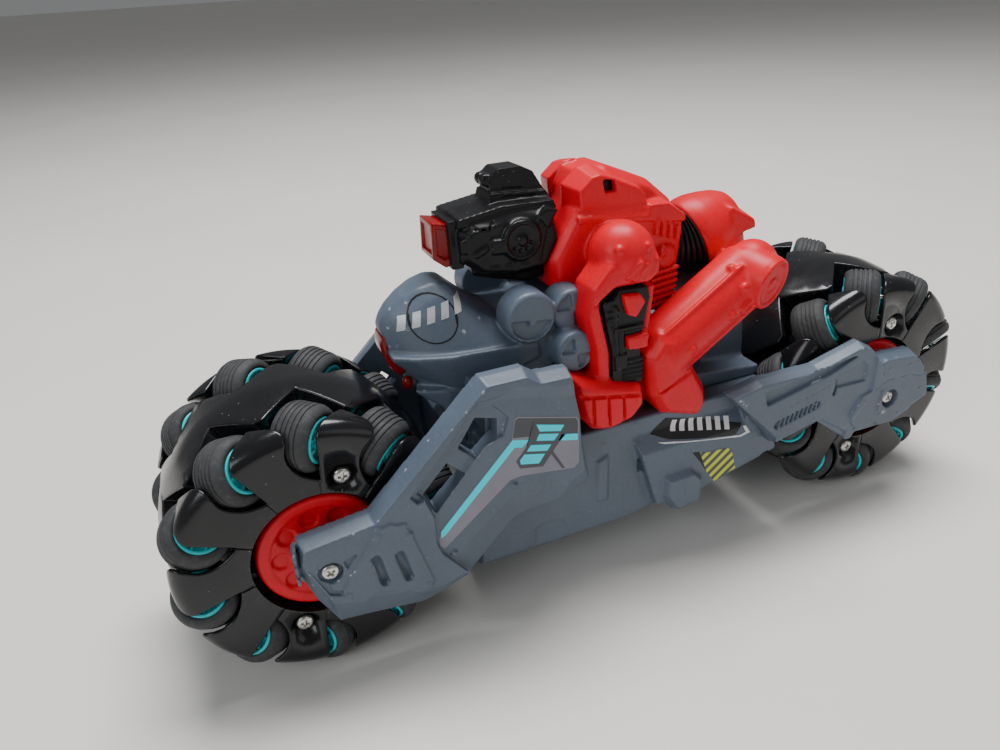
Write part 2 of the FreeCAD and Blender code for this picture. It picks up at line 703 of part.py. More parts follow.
cowl_solid = fuse("cowl_solid", [cowl_front, seat_deck, seat_post] + both_sides("cowl_turbines", turbines))
cowl_clear = cut("cowl_clear", cowl_solid, main_frame)
upper_cowl = cut("upper_cowl", cowl_clear, lenses)
sub_parts.append(upper_cowl)

# ---------------------------------------------------------------- rider: black pieces

head_side = side_prism("head_side", [(49, 116), (49, 128), (19, 130), (17, 118), (24, 107), (34, 106), (44, 109)],
                       "2 * sheet.head_half_width")
head_section = section_prism("head_section", [(0, 104), (9, 104), (12, 112), (12, 122), (9.5, 130), (0, 130)],
                             10, "50")
head = common("head", [head_side, head_section])
fin = side_prism("head_fin", [(36, 127), (36, 139), (33, 140), (24, 139), (21, 127)], "9")
ears = both_sides("ears", [rod("ear", (31, 8, 119), (31, 13.2, 119), "sheet.ear_radius")])
neck_joint = rod("neck_joint", (26, 0, 108), (14, 0, 112), "7")
head_parts = fuse("head_parts", [head, fin, neck_joint] + ears)

WAIST_FRONT = Vector(-27, 0, 106)
WAIST_BACK = Vector(-47, 0, 107)
bellows_rings = [rod("bellows_core", WAIST_FRONT, WAIST_BACK, "sheet.bellows_neck")]
RING_COUNT = 5
for number in range(RING_COUNT):
    step = (WAIST_BACK - WAIST_FRONT) / RING_COUNT
    start = WAIST_FRONT + step * (number + 0.2)
    bellows_rings.append(rod(f"bellows_ring_{number + 1}", start, start + step * 0.6, "sheet.bellows_radius"))
bellows = fuse("bellows", bellows_rings)

forearm = lateral_prism("forearm", [(11, 102), (7, 104.5), (-3, 104), (-6, 98.5), (-5, 88), (-4, 74), (7, 73),
                                    (8.2, 87)], 21.5, "2 * sheet.forearm_half_width")
forearms = both_sides("forearms", [forearm])
black_solid = gather("black_pieces", [head_parts, bellows] + forearms)
black_clear = cut("black_clear", black_solid, gather("black_limits", [upper_cowl, lenses]))
rider_black = cut("rider_black_parts", black_clear, main_frame)
sub_parts.append(rider_black)

# ---------------------------------------------------------------- rider: red armour

torso_side = side_prism("torso_side", [(21, 103), (22, 112), (11, 128), (8, 136), (-1, 137), (-17, 129.5),
                                       (-30, 119), (-33, 107), (-26, 95), (-20, 88), (-8, 88), (-2, 96),
                                       (12, 98)], "2 * sheet.torso_half_width")
torso_section = section_prism("torso_section", [(0, 86), (14, 86), (14, 122), (9, 137), (0, 137)], -40, "70")
torso = common("torso", [torso_side, torso_section])
pelvis_side = side_prism("pelvis_side", [(-38, 97), (-36, 108), (-41, 118), (-48, 118.5), (-57, 112), (-59, 98),
                                         (-52, 92), (-42, 92)], "2 * sheet.torso_half_width")
pelvis_section = section_prism("pelvis_section", [(0, 90), (14, 90), (14, 108), (8, 119), (0, 119)], -62, "40")
pelvis = common("pelvis", [pelvis_side, pelvis_section])

shoulder = ball("shoulder", (2, 21, 114.5), "sheet.shoulder_radius")
shoulder_link = rod("shoulder_link", (2, 10, 113), (2, 21, 113), "6.5")
sleeve = lateral_prism("sleeve", [(12.5, 113), (18, 104), (17, 94), (14.5, 84), (13.5, 75), (8, 75), (8.3, 88),
                                  (12, 101), (7.5, 104.5), (-7, 104.5), (-8, 113)], 19, "11")
cuff = lateral_prism("cuff", [(5, 104), (-3.2, 101), (-1.3, 96), (2, 95.4)], 30.7, "1.6")
cuff_low = lateral_prism("cuff_low", [(4, 88.7), (-1.5, 88.7), (-1.6, 85), (3.4, 84.4)], 30.7, "1.6")
hand = lateral_prism("hand", [(22.8, 82), (10, 76), (-2.5, 75), (-4, 66), (2, 61.5), (12, 58), (19.5, 67)],
                     21, "12")
thigh = rod("thigh", (-10, 24, 75.5), (-51, 21, 98), "sheet.thigh_radius")
hip_disc = rod("hip_disc", (-51, 13, 97), (-52, 27, 96.5), "9.5")
knee = lateral_prism("knee", [(-7.7, 78), (-7.7, 67), (-14, 55.8), (-24, 53), (-28, 54.6), (-29, 63),
                              (-24, 76)], 18, "13")
limbs = both_sides("limbs", [shoulder, shoulder_link, sleeve, cuff, cuff_low, hand, thigh, hip_disc, knee])
red_solid = fuse("red_solid", [torso, pelvis] + limbs)
red_limits = gather("red_limits", [upper_cowl, main_frame])
red_clear = cut("red_clear", red_solid, red_limits)
red_armour = cut("rider_red_armour", red_clear, rider_black)
sub_parts.append(red_armour)

# ---------------------------------------------------------------- battery, board and switch

cells = []
for side, sign in SIDES.items():
    z = dim("bay_floor") + dim("cell_radius") + 0.3
    y = sign * (dim("cell_radius") + 0.1)
    cells.append(rod(f"cell_{side}", (-35, y, z), (-35 + dim("cell_length"), y, z), "sheet.cell_radius"))
sub_parts.append(gather("battery_pack", cells))

board = block("board_sheet", (17, -15, 40), "30", "30", "sheet.board_thickness")
chips = [block("receiver_chip", (27, -4, 41.6), "6", "8", "1.4"),
         block("driver_chip", (36, -7, 41.6), "8", "14", "2.2"),
         block("battery_socket", (18, 3, 41.6), "6", "8", "6")]
sub_parts.append(fuse("control_board", [board] + chips))

knob = block("switch_knob", (4, -3, 17.2), "7", "6", "6")
flange = block("switch_flange", (4, -4.3, 22.8), "7", "8.6", "2.8")
sub_parts.append(fuse("power_switch", [knob, flange]))

# ---------------------------------------------------------------- checks and files

doc.recompute()
for item in doc.Objects:
    if "Invalid" in item.State or "Error" in item.State:
        raise RuntimeError(f"{item.Label} did not compute: {item.State}")
for item in sub_parts:
    if item.Shape.isNull() or not item.Shape.isValid():
        raise RuntimeError(f"{item.Label} has no valid shape")

os.makedirs("parts", exist_ok=True)
for item in sub_parts:
    item.Shape.exportStep(f"parts/{item.Label}.step")
    print(item.Label, len(item.Shape.Solids), round(item.Shape.Volume, 1))
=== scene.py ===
import json
import math
import random

import bmesh
import bpy
from mathutils import Euler, Matrix, Vector
from mathutils.bvhtree import BVHTree


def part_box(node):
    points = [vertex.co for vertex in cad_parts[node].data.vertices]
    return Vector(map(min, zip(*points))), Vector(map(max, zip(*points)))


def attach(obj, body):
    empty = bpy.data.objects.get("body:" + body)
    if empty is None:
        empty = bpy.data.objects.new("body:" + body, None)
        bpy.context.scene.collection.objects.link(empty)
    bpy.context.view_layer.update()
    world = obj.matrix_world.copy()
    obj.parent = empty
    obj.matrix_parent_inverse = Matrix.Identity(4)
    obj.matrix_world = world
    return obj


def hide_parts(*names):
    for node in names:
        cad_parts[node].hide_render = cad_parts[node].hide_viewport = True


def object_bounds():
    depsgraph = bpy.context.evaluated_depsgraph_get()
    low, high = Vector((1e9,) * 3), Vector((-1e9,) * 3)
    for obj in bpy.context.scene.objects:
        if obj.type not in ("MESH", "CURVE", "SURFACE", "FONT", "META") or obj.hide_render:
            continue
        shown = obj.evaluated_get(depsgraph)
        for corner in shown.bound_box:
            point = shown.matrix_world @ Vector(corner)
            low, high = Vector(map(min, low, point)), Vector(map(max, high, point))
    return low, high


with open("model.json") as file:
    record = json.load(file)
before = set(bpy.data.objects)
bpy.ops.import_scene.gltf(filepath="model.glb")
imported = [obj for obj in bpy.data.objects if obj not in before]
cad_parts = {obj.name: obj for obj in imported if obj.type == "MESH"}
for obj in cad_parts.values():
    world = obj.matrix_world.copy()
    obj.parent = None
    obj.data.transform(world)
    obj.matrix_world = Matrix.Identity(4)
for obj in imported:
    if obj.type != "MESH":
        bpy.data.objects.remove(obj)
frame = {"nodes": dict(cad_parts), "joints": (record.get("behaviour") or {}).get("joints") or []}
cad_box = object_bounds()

MM = 0.001
SIDES = {"left": 1, "right": -1}
JOINTS = {joint["name"]: joint for joint in frame["joints"]}
WHEELS = ("front", "rear")
AXLE = {wheel: Vector(JOINTS[wheel + "_wheel_spin"]["pos_m"]) / MM for wheel in WHEELS}
Y_AXIS = Vector((0, 1, 0))
rng = random.Random(7)

# ---------------------------------------------------------------- camera and light

CAMERA_SPOT = Vector((0.122003, 0.217780, 0.192103))
CAMERA_TURN = Euler([math.radians(angle) for angle in (62.73658, 2.97969, 156.41899)])
camera_data = bpy.data.cameras.new("camera")
camera_data.sensor_width = 36
camera_data.lens = 28.734
camera_data.clip_start = 0.01
camera = bpy.data.objects.new("camera", camera_data)
bpy.context.scene.collection.objects.link(camera)
camera.matrix_world = Matrix.LocRotScale(CAMERA_SPOT, CAMERA_TURN, None)
bpy.context.scene.camera = camera


def area_light(name, spot, target, size, energy, colour=(1, 1, 1)):
    """Soft rectangular lamp at a spot, aimed at a target."""
    data = bpy.data.lights.new(name, "AREA")
    data.shape = "RECTANGLE"
    data.size, data.size_y = size
    data.energy = energy
    data.color = colour
    lamp = bpy.data.objects.new(name, data)
    lamp.location = spot
    lamp.rotation_euler = (Vector(target) - Vector(spot)).to_track_quat("-Z", "Y").to_euler()
    bpy.context.scene.collection.objects.link(lamp)


area_light("ceiling", (-0.15, -0.25, 1.3), (0, 0, 0.05), (0.9, 0.5), 27)
area_light("window", (1.1, 0.55, 0.75), (0, 0, 0.06), (0.8, 0.6), 6.5, (0.93, 0.97, 1))
area_light("front_fill", (-0.7, 1.2, 0.7), (0, 0, 0.05), (0.9, 0.6), 1.4, (1, 0.97, 0.93))
world = bpy.data.worlds.new("room")
world.use_nodes = True
world.node_tree.nodes["Background"].inputs["Color"].default_value = (0.80, 0.81, 0.82, 1)
world.node_tree.nodes["Background"].inputs["Strength"].default_value = 0.24
bpy.context.scene.world = world

# ---------------------------------------------------------------- materials


class Nodes:
    """Short way to build a procedural material around one Principled shader."""

    def __init__(self, name, **values):
        self.material = bpy.data.materials.new(name)
        self.material.use_nodes = True
        self.tree = self.material.node_tree
        self.shader = self.tree.nodes["Principled BSDF"]
        for socket, value in values.items():
            self.shader.inputs[socket.replace("_", " ")].default_value = value
        self.place = self.tree.nodes.new("ShaderNodeTexCoord").outputs["Object"]

    def node(self, kind, values=None, **settings):
        made = self.tree.nodes.new("ShaderNode" + kind)
        for key, value in settings.items():
            setattr(made, key, value)
        for key, value in (values or {}).items():
            if isinstance(value, bpy.types.NodeSocket):
                self.tree.links.new(value, made.inputs[key])
            else:
                made.inputs[key].default_value = value
        return made

    def noise(self, scale, detail):
        values = {"Vector": self.place, "Scale": scale, "Detail": detail, "Roughness": 0.55}
        return self.node("TexNoise", values).outputs["Fac"]

    def ramp(self, fac, low, high, start, end):
        """Map a grey value between two positions onto a range of numbers."""
        values = {"Value": fac, "From Min": start, "From Max": end, "To Min": low, "To Max": high}
        return self.node("MapRange", values).outputs["Result"]

    def patchy(self, scale, detail, low=0, high=1):
        """Broad patches of noise between two values."""
        return self.ramp(self.noise(scale, detail), low, high, 0.3, 0.7)

    def math(self, operation, one, two=0.0):
        return self.node("Math", {0: one, 1: two}, operation=operation).outputs["Value"]

    def mix(self, fac, one, two):
        made = self.node("Mix", {0: fac}, data_type="RGBA")
        for index, value in ((6, one), (7, two)):
            if isinstance(value, bpy.types.NodeSocket):
                self.tree.links.new(value, made.inputs[index])
            else:
                made.inputs[index].default_value = (*value, 1)
        return made.outputs[2]

    def colour(self, socket):
        self.tree.links.new(socket, self.shader.inputs["Base Color"])

    def roughness(self, socket):
        self.tree.links.new(socket, self.shader.inputs["Roughness"])

    def bump(self, height, strength, distance):
        made = self.node("Bump", {"Height": height, "Strength": strength, "Distance": distance})
        self.tree.links.new(made.outputs["Normal"], self.shader.inputs["Normal"])

    def specks(self, scale, size, share):
        """White where a small speck lies: a few cells of a fine Voronoi pattern."""
        cells = self.node("TexVoronoi", {"Vector": self.place, "Scale": scale})
        near = self.ramp(cells.outputs["Distance"], 1.0, 0.0, size * 0.6, size)
        pick = self.node("SeparateColor", {"Color": cells.outputs["Color"]}).outputs[0]
        chosen = self.math("LESS_THAN", pick, share)
        return self.math("MULTIPLY", near, chosen)

    def worn(self, low, high):
        """White along convex edges, broken up by noise."""
        edge = self.node("NewGeometry").outputs["Pointiness"]
        rim = self.ramp(edge, 0.0, 1.0, low, high)
        broken = self.ramp(self.noise(420, 4), 0.0, 1.0, 0.45, 0.62)
        return self.math("MULTIPLY", rim, broken)


def moulded(name, base, shade, rough, grain, dust=0.1, wear=0.35, wear_colour=(0.42, 0.45, 0.48),
            **values):
    """Injection-moulded plastic with uneven tone, fine spark texture, dust and rubbed edges."""
    nodes = Nodes(name, **values)
    tone = nodes.mix(nodes.patchy(38, 5), base, shade)
    fine = nodes.ramp(nodes.noise(900, 2), 0, 1, 0.35, 0.65)
    tone = nodes.mix(nodes.math("MULTIPLY", fine, 0.16), tone, [min(1, c * 1.7 + 0.01) for c in base])
    rubbed = nodes.math("MULTIPLY", nodes.worn(0.53, 0.60), wear)
    tone = nodes.mix(rubbed, tone, wear_colour)
    speck = nodes.math("MULTIPLY", nodes.specks(620, 0.16, 0.11), dust)
    tone = nodes.mix(speck, tone, (0.75, 0.74, 0.7))
    nodes.colour(tone)
    nodes.roughness(nodes.ramp(nodes.noise(140, 4), rough - 0.05, rough + 0.08, 0.25, 0.75))
    nodes.bump(nodes.noise(1500, 2), grain, 0.00012)
    return nodes.material


grey = moulded("grey_plastic", (0.072, 0.095, 0.129), (0.092, 0.122, 0.166), 0.42, 0.30, dust=0.12,
               wear=0.8, Specular_IOR_Level=0.5)
red = moulded("red_plastic", (0.72, 0.002, 0.015), (0.63, 0.002, 0.011), 0.37, 0.14, dust=0.05, wear=0.12,
              wear_colour=(0.85, 0.16, 0.16), Specular_IOR_Level=0.28)
black = moulded("black_plastic", (0.006, 0.006, 0.007), (0.009, 0.009, 0.010), 0.30, 0.22, dust=0.12,
                wear=0.08, Specular_IOR_Level=0.22, wear_colour=(0.25, 0.25, 0.26))
gloss = moulded("black_gloss", (0.006, 0.006, 0.007), (0.008, 0.008, 0.010), 0.20, 0.10, dust=0.20, wear=0.05,
                wear_colour=(0.2, 0.2, 0.21), Specular_IOR_Level=0.35, Coat_Weight=0.15,
                Coat_Roughness=0.12)
teal = moulded("teal_plastic", (0.005, 0.52, 0.56), (0.004, 0.44, 0.48), 0.38, 0.12, dust=0.05, wear=0.2,
               wear_colour=(0.3, 0.8, 0.8))


def rubber_material():
    nodes = Nodes("roller_rubber", Specular_IOR_Level=0.35)
    tone = nodes.mix(nodes.patchy(60, 5), (0.030, 0.031, 0.033), (0.048, 0.049, 0.051))
    dusty = nodes.math("MULTIPLY", nodes.ramp(nodes.noise(700, 4), 0, 1, 0.5, 0.8), 0.35)
    nodes.colour(nodes.mix(dusty, tone, (0.13, 0.13, 0.13)))
    nodes.roughness(nodes.patchy(200, 4, 0.55, 0.75))
    nodes.bump(nodes.noise(1300, 3), 0.35, 0.00012)
    return nodes.material


def steel_material():
    nodes = Nodes("steel", Metallic=1.0)
    tone = nodes.mix(nodes.noise(260, 4), (0.62, 0.61, 0.57), (0.48, 0.47, 0.44))
    nodes.colour(tone)
    nodes.roughness(nodes.patchy(500, 3, 0.18, 0.42))
    nodes.bump(nodes.noise(900, 3), 0.12, 0.0001)
    return nodes.material


def lens_material():
    nodes = Nodes("red_lens", Transmission_Weight=0.25, IOR=1.45, Specular_IOR_Level=0.3)
    tone = nodes.mix(nodes.patchy(90, 3), (0.40, 0.003, 0.005), (0.20, 0.002, 0.003))
    nodes.colour(tone)
    nodes.roughness(nodes.patchy(300, 2, 0.08, 0.18))
    nodes.bump(nodes.node("TexWave", {"Vector": nodes.place, "Scale": 260.0}).outputs["Fac"], 0.15, 0.0002)
    return nodes.material


def film_material(name, base, shade, rough=0.35, metal=0.0):
    """Printed vinyl film: near-even ink with a faint screen and small scratches."""
    nodes = Nodes(name, Metallic=metal, Specular_IOR_Level=0.25)
    tone = nodes.mix(nodes.patchy(120, 4), base, shade)
    scratch = nodes.math("MULTIPLY", nodes.specks(520, 0.12, 0.06), 0.35)
    nodes.colour(nodes.mix(scratch, tone, (0.8, 0.8, 0.8)))
    nodes.roughness(nodes.patchy(400, 3, rough - 0.05, rough + 0.1))
    nodes.bump(nodes.noise(600, 2), 0.06, 0.0001)
    return nodes.material


def hazard_material():
    """Film with slanted dark bars over yellow-green."""
    nodes = Nodes("film_hazard")
    parts = nodes.node("SeparateXYZ", {"Vector": nodes.place})
    slant = nodes.math("MULTIPLY", parts.outputs["Z"], 1.35)
    along = nodes.math("MULTIPLY", nodes.math("ADD", parts.outputs["X"], slant), 196.0)
    bar = nodes.math("LESS_THAN", nodes.math("FRACT", along), 0.5)
    tone = nodes.mix(bar, (0.62, 0.68, 0.02), (0.035, 0.036, 0.04))
    nodes.colour(nodes.mix(nodes.math("MULTIPLY", nodes.noise(300, 3), 0.2), tone, (0.25, 0.25, 0.1)))
    nodes.roughness(nodes.patchy(400, 3, 0.3, 0.45))
    nodes.bump(nodes.noise(600, 2), 0.06, 0.0001)
    return nodes.material


def floor_material():
    nodes = Nodes("floor")
    nodes.colour(nodes.mix(nodes.patchy(1.5, 3), (0.72, 0.70, 0.67), (0.75, 0.73, 0.70)))
    nodes.roughness(nodes.patchy(6, 3, 0.5, 0.62))
    nodes.bump(nodes.noise(300, 3), 0.05, 0.0002)
    return nodes.material


rubber = rubber_material()
steel = steel_material()
lens = lens_material()
film_teal = film_material("film_teal", (0.0, 0.78, 0.96), (0.0, 0.84, 1.0), 0.5)
film_dark = film_material("film_dark", (0.085, 0.088, 0.096), (0.07, 0.073, 0.08))
film_lilac = film_material("film_lilac", (0.25, 0.24, 0.285), (0.22, 0.21, 0.255))
film_white = film_material("film_white", (0.74, 0.75, 0.78), (0.66, 0.67, 0.70))
film_black = film_material("film_black", (0.012, 0.012, 0.014), (0.018, 0.018, 0.02))
film_silver = film_material("film_silver", (0.62, 0.64, 0.66), (0.5, 0.52, 0.55), 0.3, 0.35)
film_hazard = hazard_material()
cell_sleeve = moulded("cell_sleeve", (0.03, 0.10, 0.38), (0.04, 0.13, 0.42), 0.25, 0.05)
board_green = moulded("board_green", (0.015, 0.10, 0.035), (0.02, 0.13, 0.04), 0.35, 0.10)

# ---------------------------------------------------------------- shells and solids, in millimetres


def loft(low, high):
    """Closed shell between two rings of as many points each."""
    count = len(low)
    faces = [list(range(count)), list(range(2 * count - 1, count - 1, -1))]
    faces += [[i, (i + 1) % count, count + (i + 1) % count, count + i] for i in range(count)]
    return [Vector(p) for p in low] + [Vector(p) for p in high], faces


def ring(outline, y):
    """Points of an (x, z) outline laid on a y plane."""
    return [(x, y, z) for x, z in outline]


def slab(outline, near, far):
    """Prism of an (x, z) outline between two y planes."""
    return loft(ring(outline, near), ring(outline, far))


def block(outline, near, far, near_grow=0.0, far_grow=0.0):
    """Prism of an (x, z) outline between two y planes, with its ends grown or shrunk."""
    return loft(ring(offset(outline, near_grow), near), ring(offset(outline, far_grow), far))


def box(low, high):
    """Block between two opposite corners."""
    (x0, y0, z0), (x1, y1, z1) = low, high
    return slab([(x0, z0), (x1, z0), (x1, z1), (x0, z1)], y0, y1)


def offset(outline, distance):
    """Outline moved outward by a distance, with mitred corners."""
    if not distance:
        return list(outline)
    area = sum(a[0] * b[1] - b[0] * a[1] for a, b in zip(outline, outline[1:] + outline[:1]))
    turn = 1 if area > 0 else -1
    moved = []
    for index, point in enumerate(outline):
        before = Vector(outline[index - 1])
        after = Vector(outline[(index + 1) % len(outline)])
        here = Vector(point)
        one, two = (here - before).normalized(), (after - here).normalized()
        normal_one, normal_two = Vector((one.y, -one.x)) * turn, Vector((two.y, -two.x)) * turn
        mean = normal_one + normal_two
        scale = 2 / max(mean.length_squared, 0.7)
        moved.append(tuple(here + mean * scale * distance))
    return moved


def axis_matrix(start, direction, hint=(1, 0, 0)):
    """Matrix whose Z runs along a direction and whose X is near a hint."""
    z = Vector(direction).normalized()
    x = Vector(hint) - z * z.dot(Vector(hint))
    if x.length < 0.01:
        x = Vector((0, 0, 1)) - z * z.z
    x.normalize()
    return Matrix.Translation(start) @ Matrix((x, z.cross(x), z)).transposed().to_4x4()


def turned(profile, start=(0, 0, 0), direction=(0, 0, 1), steps=48):
    """Closed shell: a loop of (radius, height) points turned about an axis."""
    matrix = axis_matrix(start, direction)
    verts, faces, rings = [], [], []
    for radius, height in profile:
        if radius < 1e-6:
            rings.append([len(verts)])
            verts.append(matrix @ Vector((0, 0, height)))
            continue
        rings.append(list(range(len(verts), len(verts) + steps)))
        for step in range(steps):
            angle = 2 * math.pi * step / steps
            verts.append(matrix @ Vector((radius * math.cos(angle), radius * math.sin(angle), height)))
    closed = profile[0][0] > 1e-6
    pairs = list(zip(rings, rings[1:] + ([rings[0]] if closed else [])))
    for one, two in pairs:
        for step in range(steps):
            after = (step + 1) % steps
            if len(one) == 1 and len(two) == 1:
                continue
            if len(one) == 1:
                faces.append([one[0], two[after], two[step]])
            elif len(two) == 1:
                faces.append([one[step], one[after], two[0]])
            else:
                faces.append([one[step], one[after], two[after], two[step]])
    return verts, faces


def rod(start, end, radius, end_radius=None, steps=40, edge=0.0):
    """Cylinder or cone between two points, with a small chamfer at its ends."""
    length = (Vector(end) - Vector(start)).length
    tip = radius if end_radius is None else end_radius
    profile = [(0, 0), (radius, 0), (tip, length), (0, length)]
    if edge:
        profile = [(0, 0), (radius - edge, 0), (radius, edge), (tip, length - edge), (tip - edge, length),
                   (0, length)]
    return turned(profile, start, Vector(end) - Vector(start), steps)


def ball(centre, radius, squash=(1, 1, 1), steps=32):
    """Sphere about a centre, squashed along X, Y and Z."""
    profile = arc((0, 0), radius, [-90 + 11.25 * step for step in range(17)])
    profile[0], profile[-1] = (0, -radius), (0, radius)
    verts, faces = turned(profile, steps=steps)
    return [Vector(centre) + Vector(v[i] * squash[i] for i in range(3)) for v in verts], faces


def flip(shell):
    """The same shell on the other side of the middle plane."""
    verts, faces = shell
    return [Vector((v.x, -v.y, v.z)) for v in verts], [face[::-1] for face in faces]


def both(shells):
    """Shells of the left side and their mirror images."""
    return list(shells) + [flip(shell) for shell in shells]


def capsule_outline(one, two, radius, steps=6):
    """Outline of a slot with round ends."""
    one, two = Vector(one), Vector(two)
    heading = math.atan2(two.y - one.y, two.x - one.x)
    points = []
    for centre, start in ((two, heading - math.pi / 2), (one, heading + math.pi / 2)):
        for step in range(steps + 1):
            angle = start + math.pi * step / steps
            points.append((centre.x + radius * math.cos(angle), centre.y + radius * math.sin(angle)))
    return points


def arc(centre, radius, angles):
    """Points on a circle at some angles in degrees."""
    x, z = centre
    return [(x + radius * math.cos(math.radians(angle)), z + radius * math.sin(math.radians(angle)))
            for angle in angles]


def bar(one, two, radius, near, far, steps=6):
    """Round-ended prism between two y planes."""
    return slab(capsule_outline(one, two, radius, steps), near, far)


def groove(points, width, near, far):
    """Thin prisms that follow a line of (x, z) points, to cut a panel line."""
    return [bar(one, two, width / 2, near, far, 3) for one, two in zip(points, points[1:])]


def link(name, mesh):
    """New object in the scene."""
    made = bpy.data.objects.new(name, mesh)
    bpy.context.scene.collection.objects.link(made)
    return made


def solid(name, shells):
    """One object from closed shells, each with its faces turned outward."""
    bm = bmesh.new()
    for verts, faces in shells:
        made = [bm.verts.new(v * MM) for v in verts]
        for face in faces:
            bm.faces.new([made[i] for i in face])
    bmesh.ops.recalc_face_normals(bm, faces=bm.faces)
    mesh = bpy.data.meshes.new(name)
    bm.to_mesh(mesh)
    bm.free()
    return link(name, mesh)


def from_node(name, node):
    """New object with a welded copy of a CAD node's mesh."""
    bm = bmesh.new()
    bm.from_mesh(frame["nodes"][node].data)
    bmesh.ops.remove_doubles(bm, verts=bm.verts, dist=1e-6)
    mesh = bpy.data.meshes.new(name)
    bm.to_mesh(mesh)
    bm.free()
    return link(name, mesh)


def bake(obj):
    """Apply every modifier of an object."""
    depsgraph = bpy.context.evaluated_depsgraph_get()
    mesh = bpy.data.meshes.new_from_object(obj.evaluated_get(depsgraph))
    obj.modifiers.clear()
    obj.data = mesh
    mesh.name = obj.name
    return obj


def modify(obj, kind, **settings):
    """Add one modifier and apply it."""
    modifier = obj.modifiers.new(kind.lower(), kind)
    for key, value in settings.items():
        setattr(modifier, key, value)
    return bake(obj)


def remeshed(obj, voxel):
    return modify(obj, "REMESH", mode="VOXEL", voxel_size=voxel * MM, adaptivity=0)


def smoothed(obj, rounds):
    return modify(obj, "SMOOTH", factor=0.5, iterations=rounds) if rounds else obj


def bevelled(obj, width, segments, angle):
    """Round the edges that are sharper than an angle."""
    return modify(obj, "BEVEL", width=width * MM, segments=segments, limit_method="ANGLE",
                  angle_limit=math.radians(angle))


def carved(obj, shells, solver="MANIFOLD"):
    """Cut shells out of an object, one group of separate shells at a time."""
    for group in apart(shells):
        tool = solid("tool", group)
        before = obj.data.copy()
        modify(obj, "BOOLEAN", operation="DIFFERENCE", solver=solver, object=tool)
        if not obj.data.polygons or len(obj.data.polygons) == len(before.polygons):
            obj.data = before
            modify(obj, "BOOLEAN", operation="DIFFERENCE", solver="EXACT", object=tool)
        bpy.data.objects.remove(tool)
    return obj


def apart(shells):
    """Sort shells into groups in which no two bounding boxes meet."""
    groups = []
    for shell in shells:
        low = [min(v[i] for v in shell[0]) - 0.01 for i in range(3)]
        high = [max(v[i] for v in shell[0]) + 0.01 for i in range(3)]
        for boxes, members in groups:
            if all(any(high[i] < a[i] or low[i] > b[i] for i in range(3)) for a, b in boxes):
                break
        else:
            boxes, members = [], []
            groups.append((boxes, members))
        boxes.append((low, high))
        members.append(shell)
    return [members for boxes, members in groups]


def joined(obj, shells):
    """Add shells to an object's mesh; the next remesh makes them one."""
    extra = solid("extra", shells)
    bm = bmesh.new()
    bm.from_mesh(obj.data)
    bm.from_mesh(extra.data)
    bm.to_mesh(obj.data)
    bm.free()
    bpy.data.objects.remove(extra)
    return obj


# Voxel sizes of the moulded pieces, from fine detail to the rider's body.
FINE, MEDIUM, COARSE, COARSEST = 0.3, 0.42, 0.5, 0.55


def moulding(obj, voxel, first, adds, cuts, last, keep):
    """Soft-edged moulding: weld and round the shape, cut its details, then add the raised ones.

    First and last are rounds of smoothing; keep is the share of triangles left at the end.
    """
    remeshed(obj, voxel)
    smoothed(obj, first)
    if cuts:
        carved(obj, cuts)
    if adds:
        joined(obj, adds)
    if cuts or adds:
        remeshed(obj, voxel)
        smoothed(obj, last)
    modify(obj, "DECIMATE", ratio=keep)


def finish(obj, body, material, slot, *nodes, sharp=None):
    """Shade a piece, give it its material and hang it on its body."""
    shade_smooth(obj.data, material, sharp)
    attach(obj, body)
    if nodes:
        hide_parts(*nodes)


def shade_smooth(mesh, material, sharp=None):
    """Give a mesh its material and smooth shading, with edges kept sharp beyond an angle."""
    mesh.materials.clear()
    mesh.materials.append(material)
    for polygon in mesh.polygons:
        polygon.use_smooth = True
    if sharp:
        mesh.set_sharp_from_angle(angle=math.radians(sharp))


def mesh_of(obj):
    """Mesh of an object that is not needed itself."""
    mesh = obj.data
    bpy.data.objects.remove(obj)
    return mesh


def place_mesh(name, mesh, matrix, body, slot, *nodes):
    """Piece that shares a mesh, set in place and hung on its body."""
    made = link(name, mesh)
    made.matrix_world = matrix
    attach(made, body)
    if nodes:
        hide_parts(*nodes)

# ---------------------------------------------------------------- rollers

TYRE_HALF = [(6.7, 5.75), (7.3, 6.0), (7.9, 5.95), (8.6, 5.5), (9.2, 4.75), (9.55, 4.0), (9.7, 3.55),
             (9.75, 3.4), (9.35, 3.3), (9.35, 2.95), (9.8, 2.85), (9.8, 1.75), (9.4, 1.65), (9.4, 1.3),
             (9.8, 1.2), (9.8, 0.35), (9.42, 0.25)]
RIM_HALF = [(6.72, 5.6), (6.6, 6.0), (6.3, 6.15), (5.75, 6.1), (5.6, 5.9), (5.45, 5.0), (3.5, 4.9),
            (3.3, 6.2), (3.1, 6.35), (1.3, 6.38), (1.05, 6.2)]


def full(profile):
    """Profile with its mirror image below."""
    return profile + [(radius, -height) for radius, height in reversed(profile)]


def rim_shells():
    """Rim with a lipped edge, a hub and eight spokes on each face."""
    shells = [turned(full(RIM_HALF), steps=48)]
    for side in (1, -1):
        for step in range(8):
            turn = Matrix.Rotation(step * math.pi / 4, 4, "Z")
            verts, faces = loft([(3.2, -0.55, 4.8), (5.6, -0.55, 4.8), (5.6, 0.55, 4.8), (3.2, 0.55, 4.8)],
                                [(3.2, -0.4, 5.8), (5.6, -0.4, 5.6), (5.6, 0.4, 5.6), (3.2, 0.4, 5.8)])
            shells.append(([turn @ Vector((v.x, v.y, v.z * side)) for v in verts], faces))
    return shells


tyre_mesh = mesh_of(bevelled(solid("tyre", [turned(full(TYRE_HALF), steps=72)]), 0.1, 2, 40))
rim_mesh = mesh_of(bevelled(solid("rim", rim_shells()), 0.12, 2, 40))


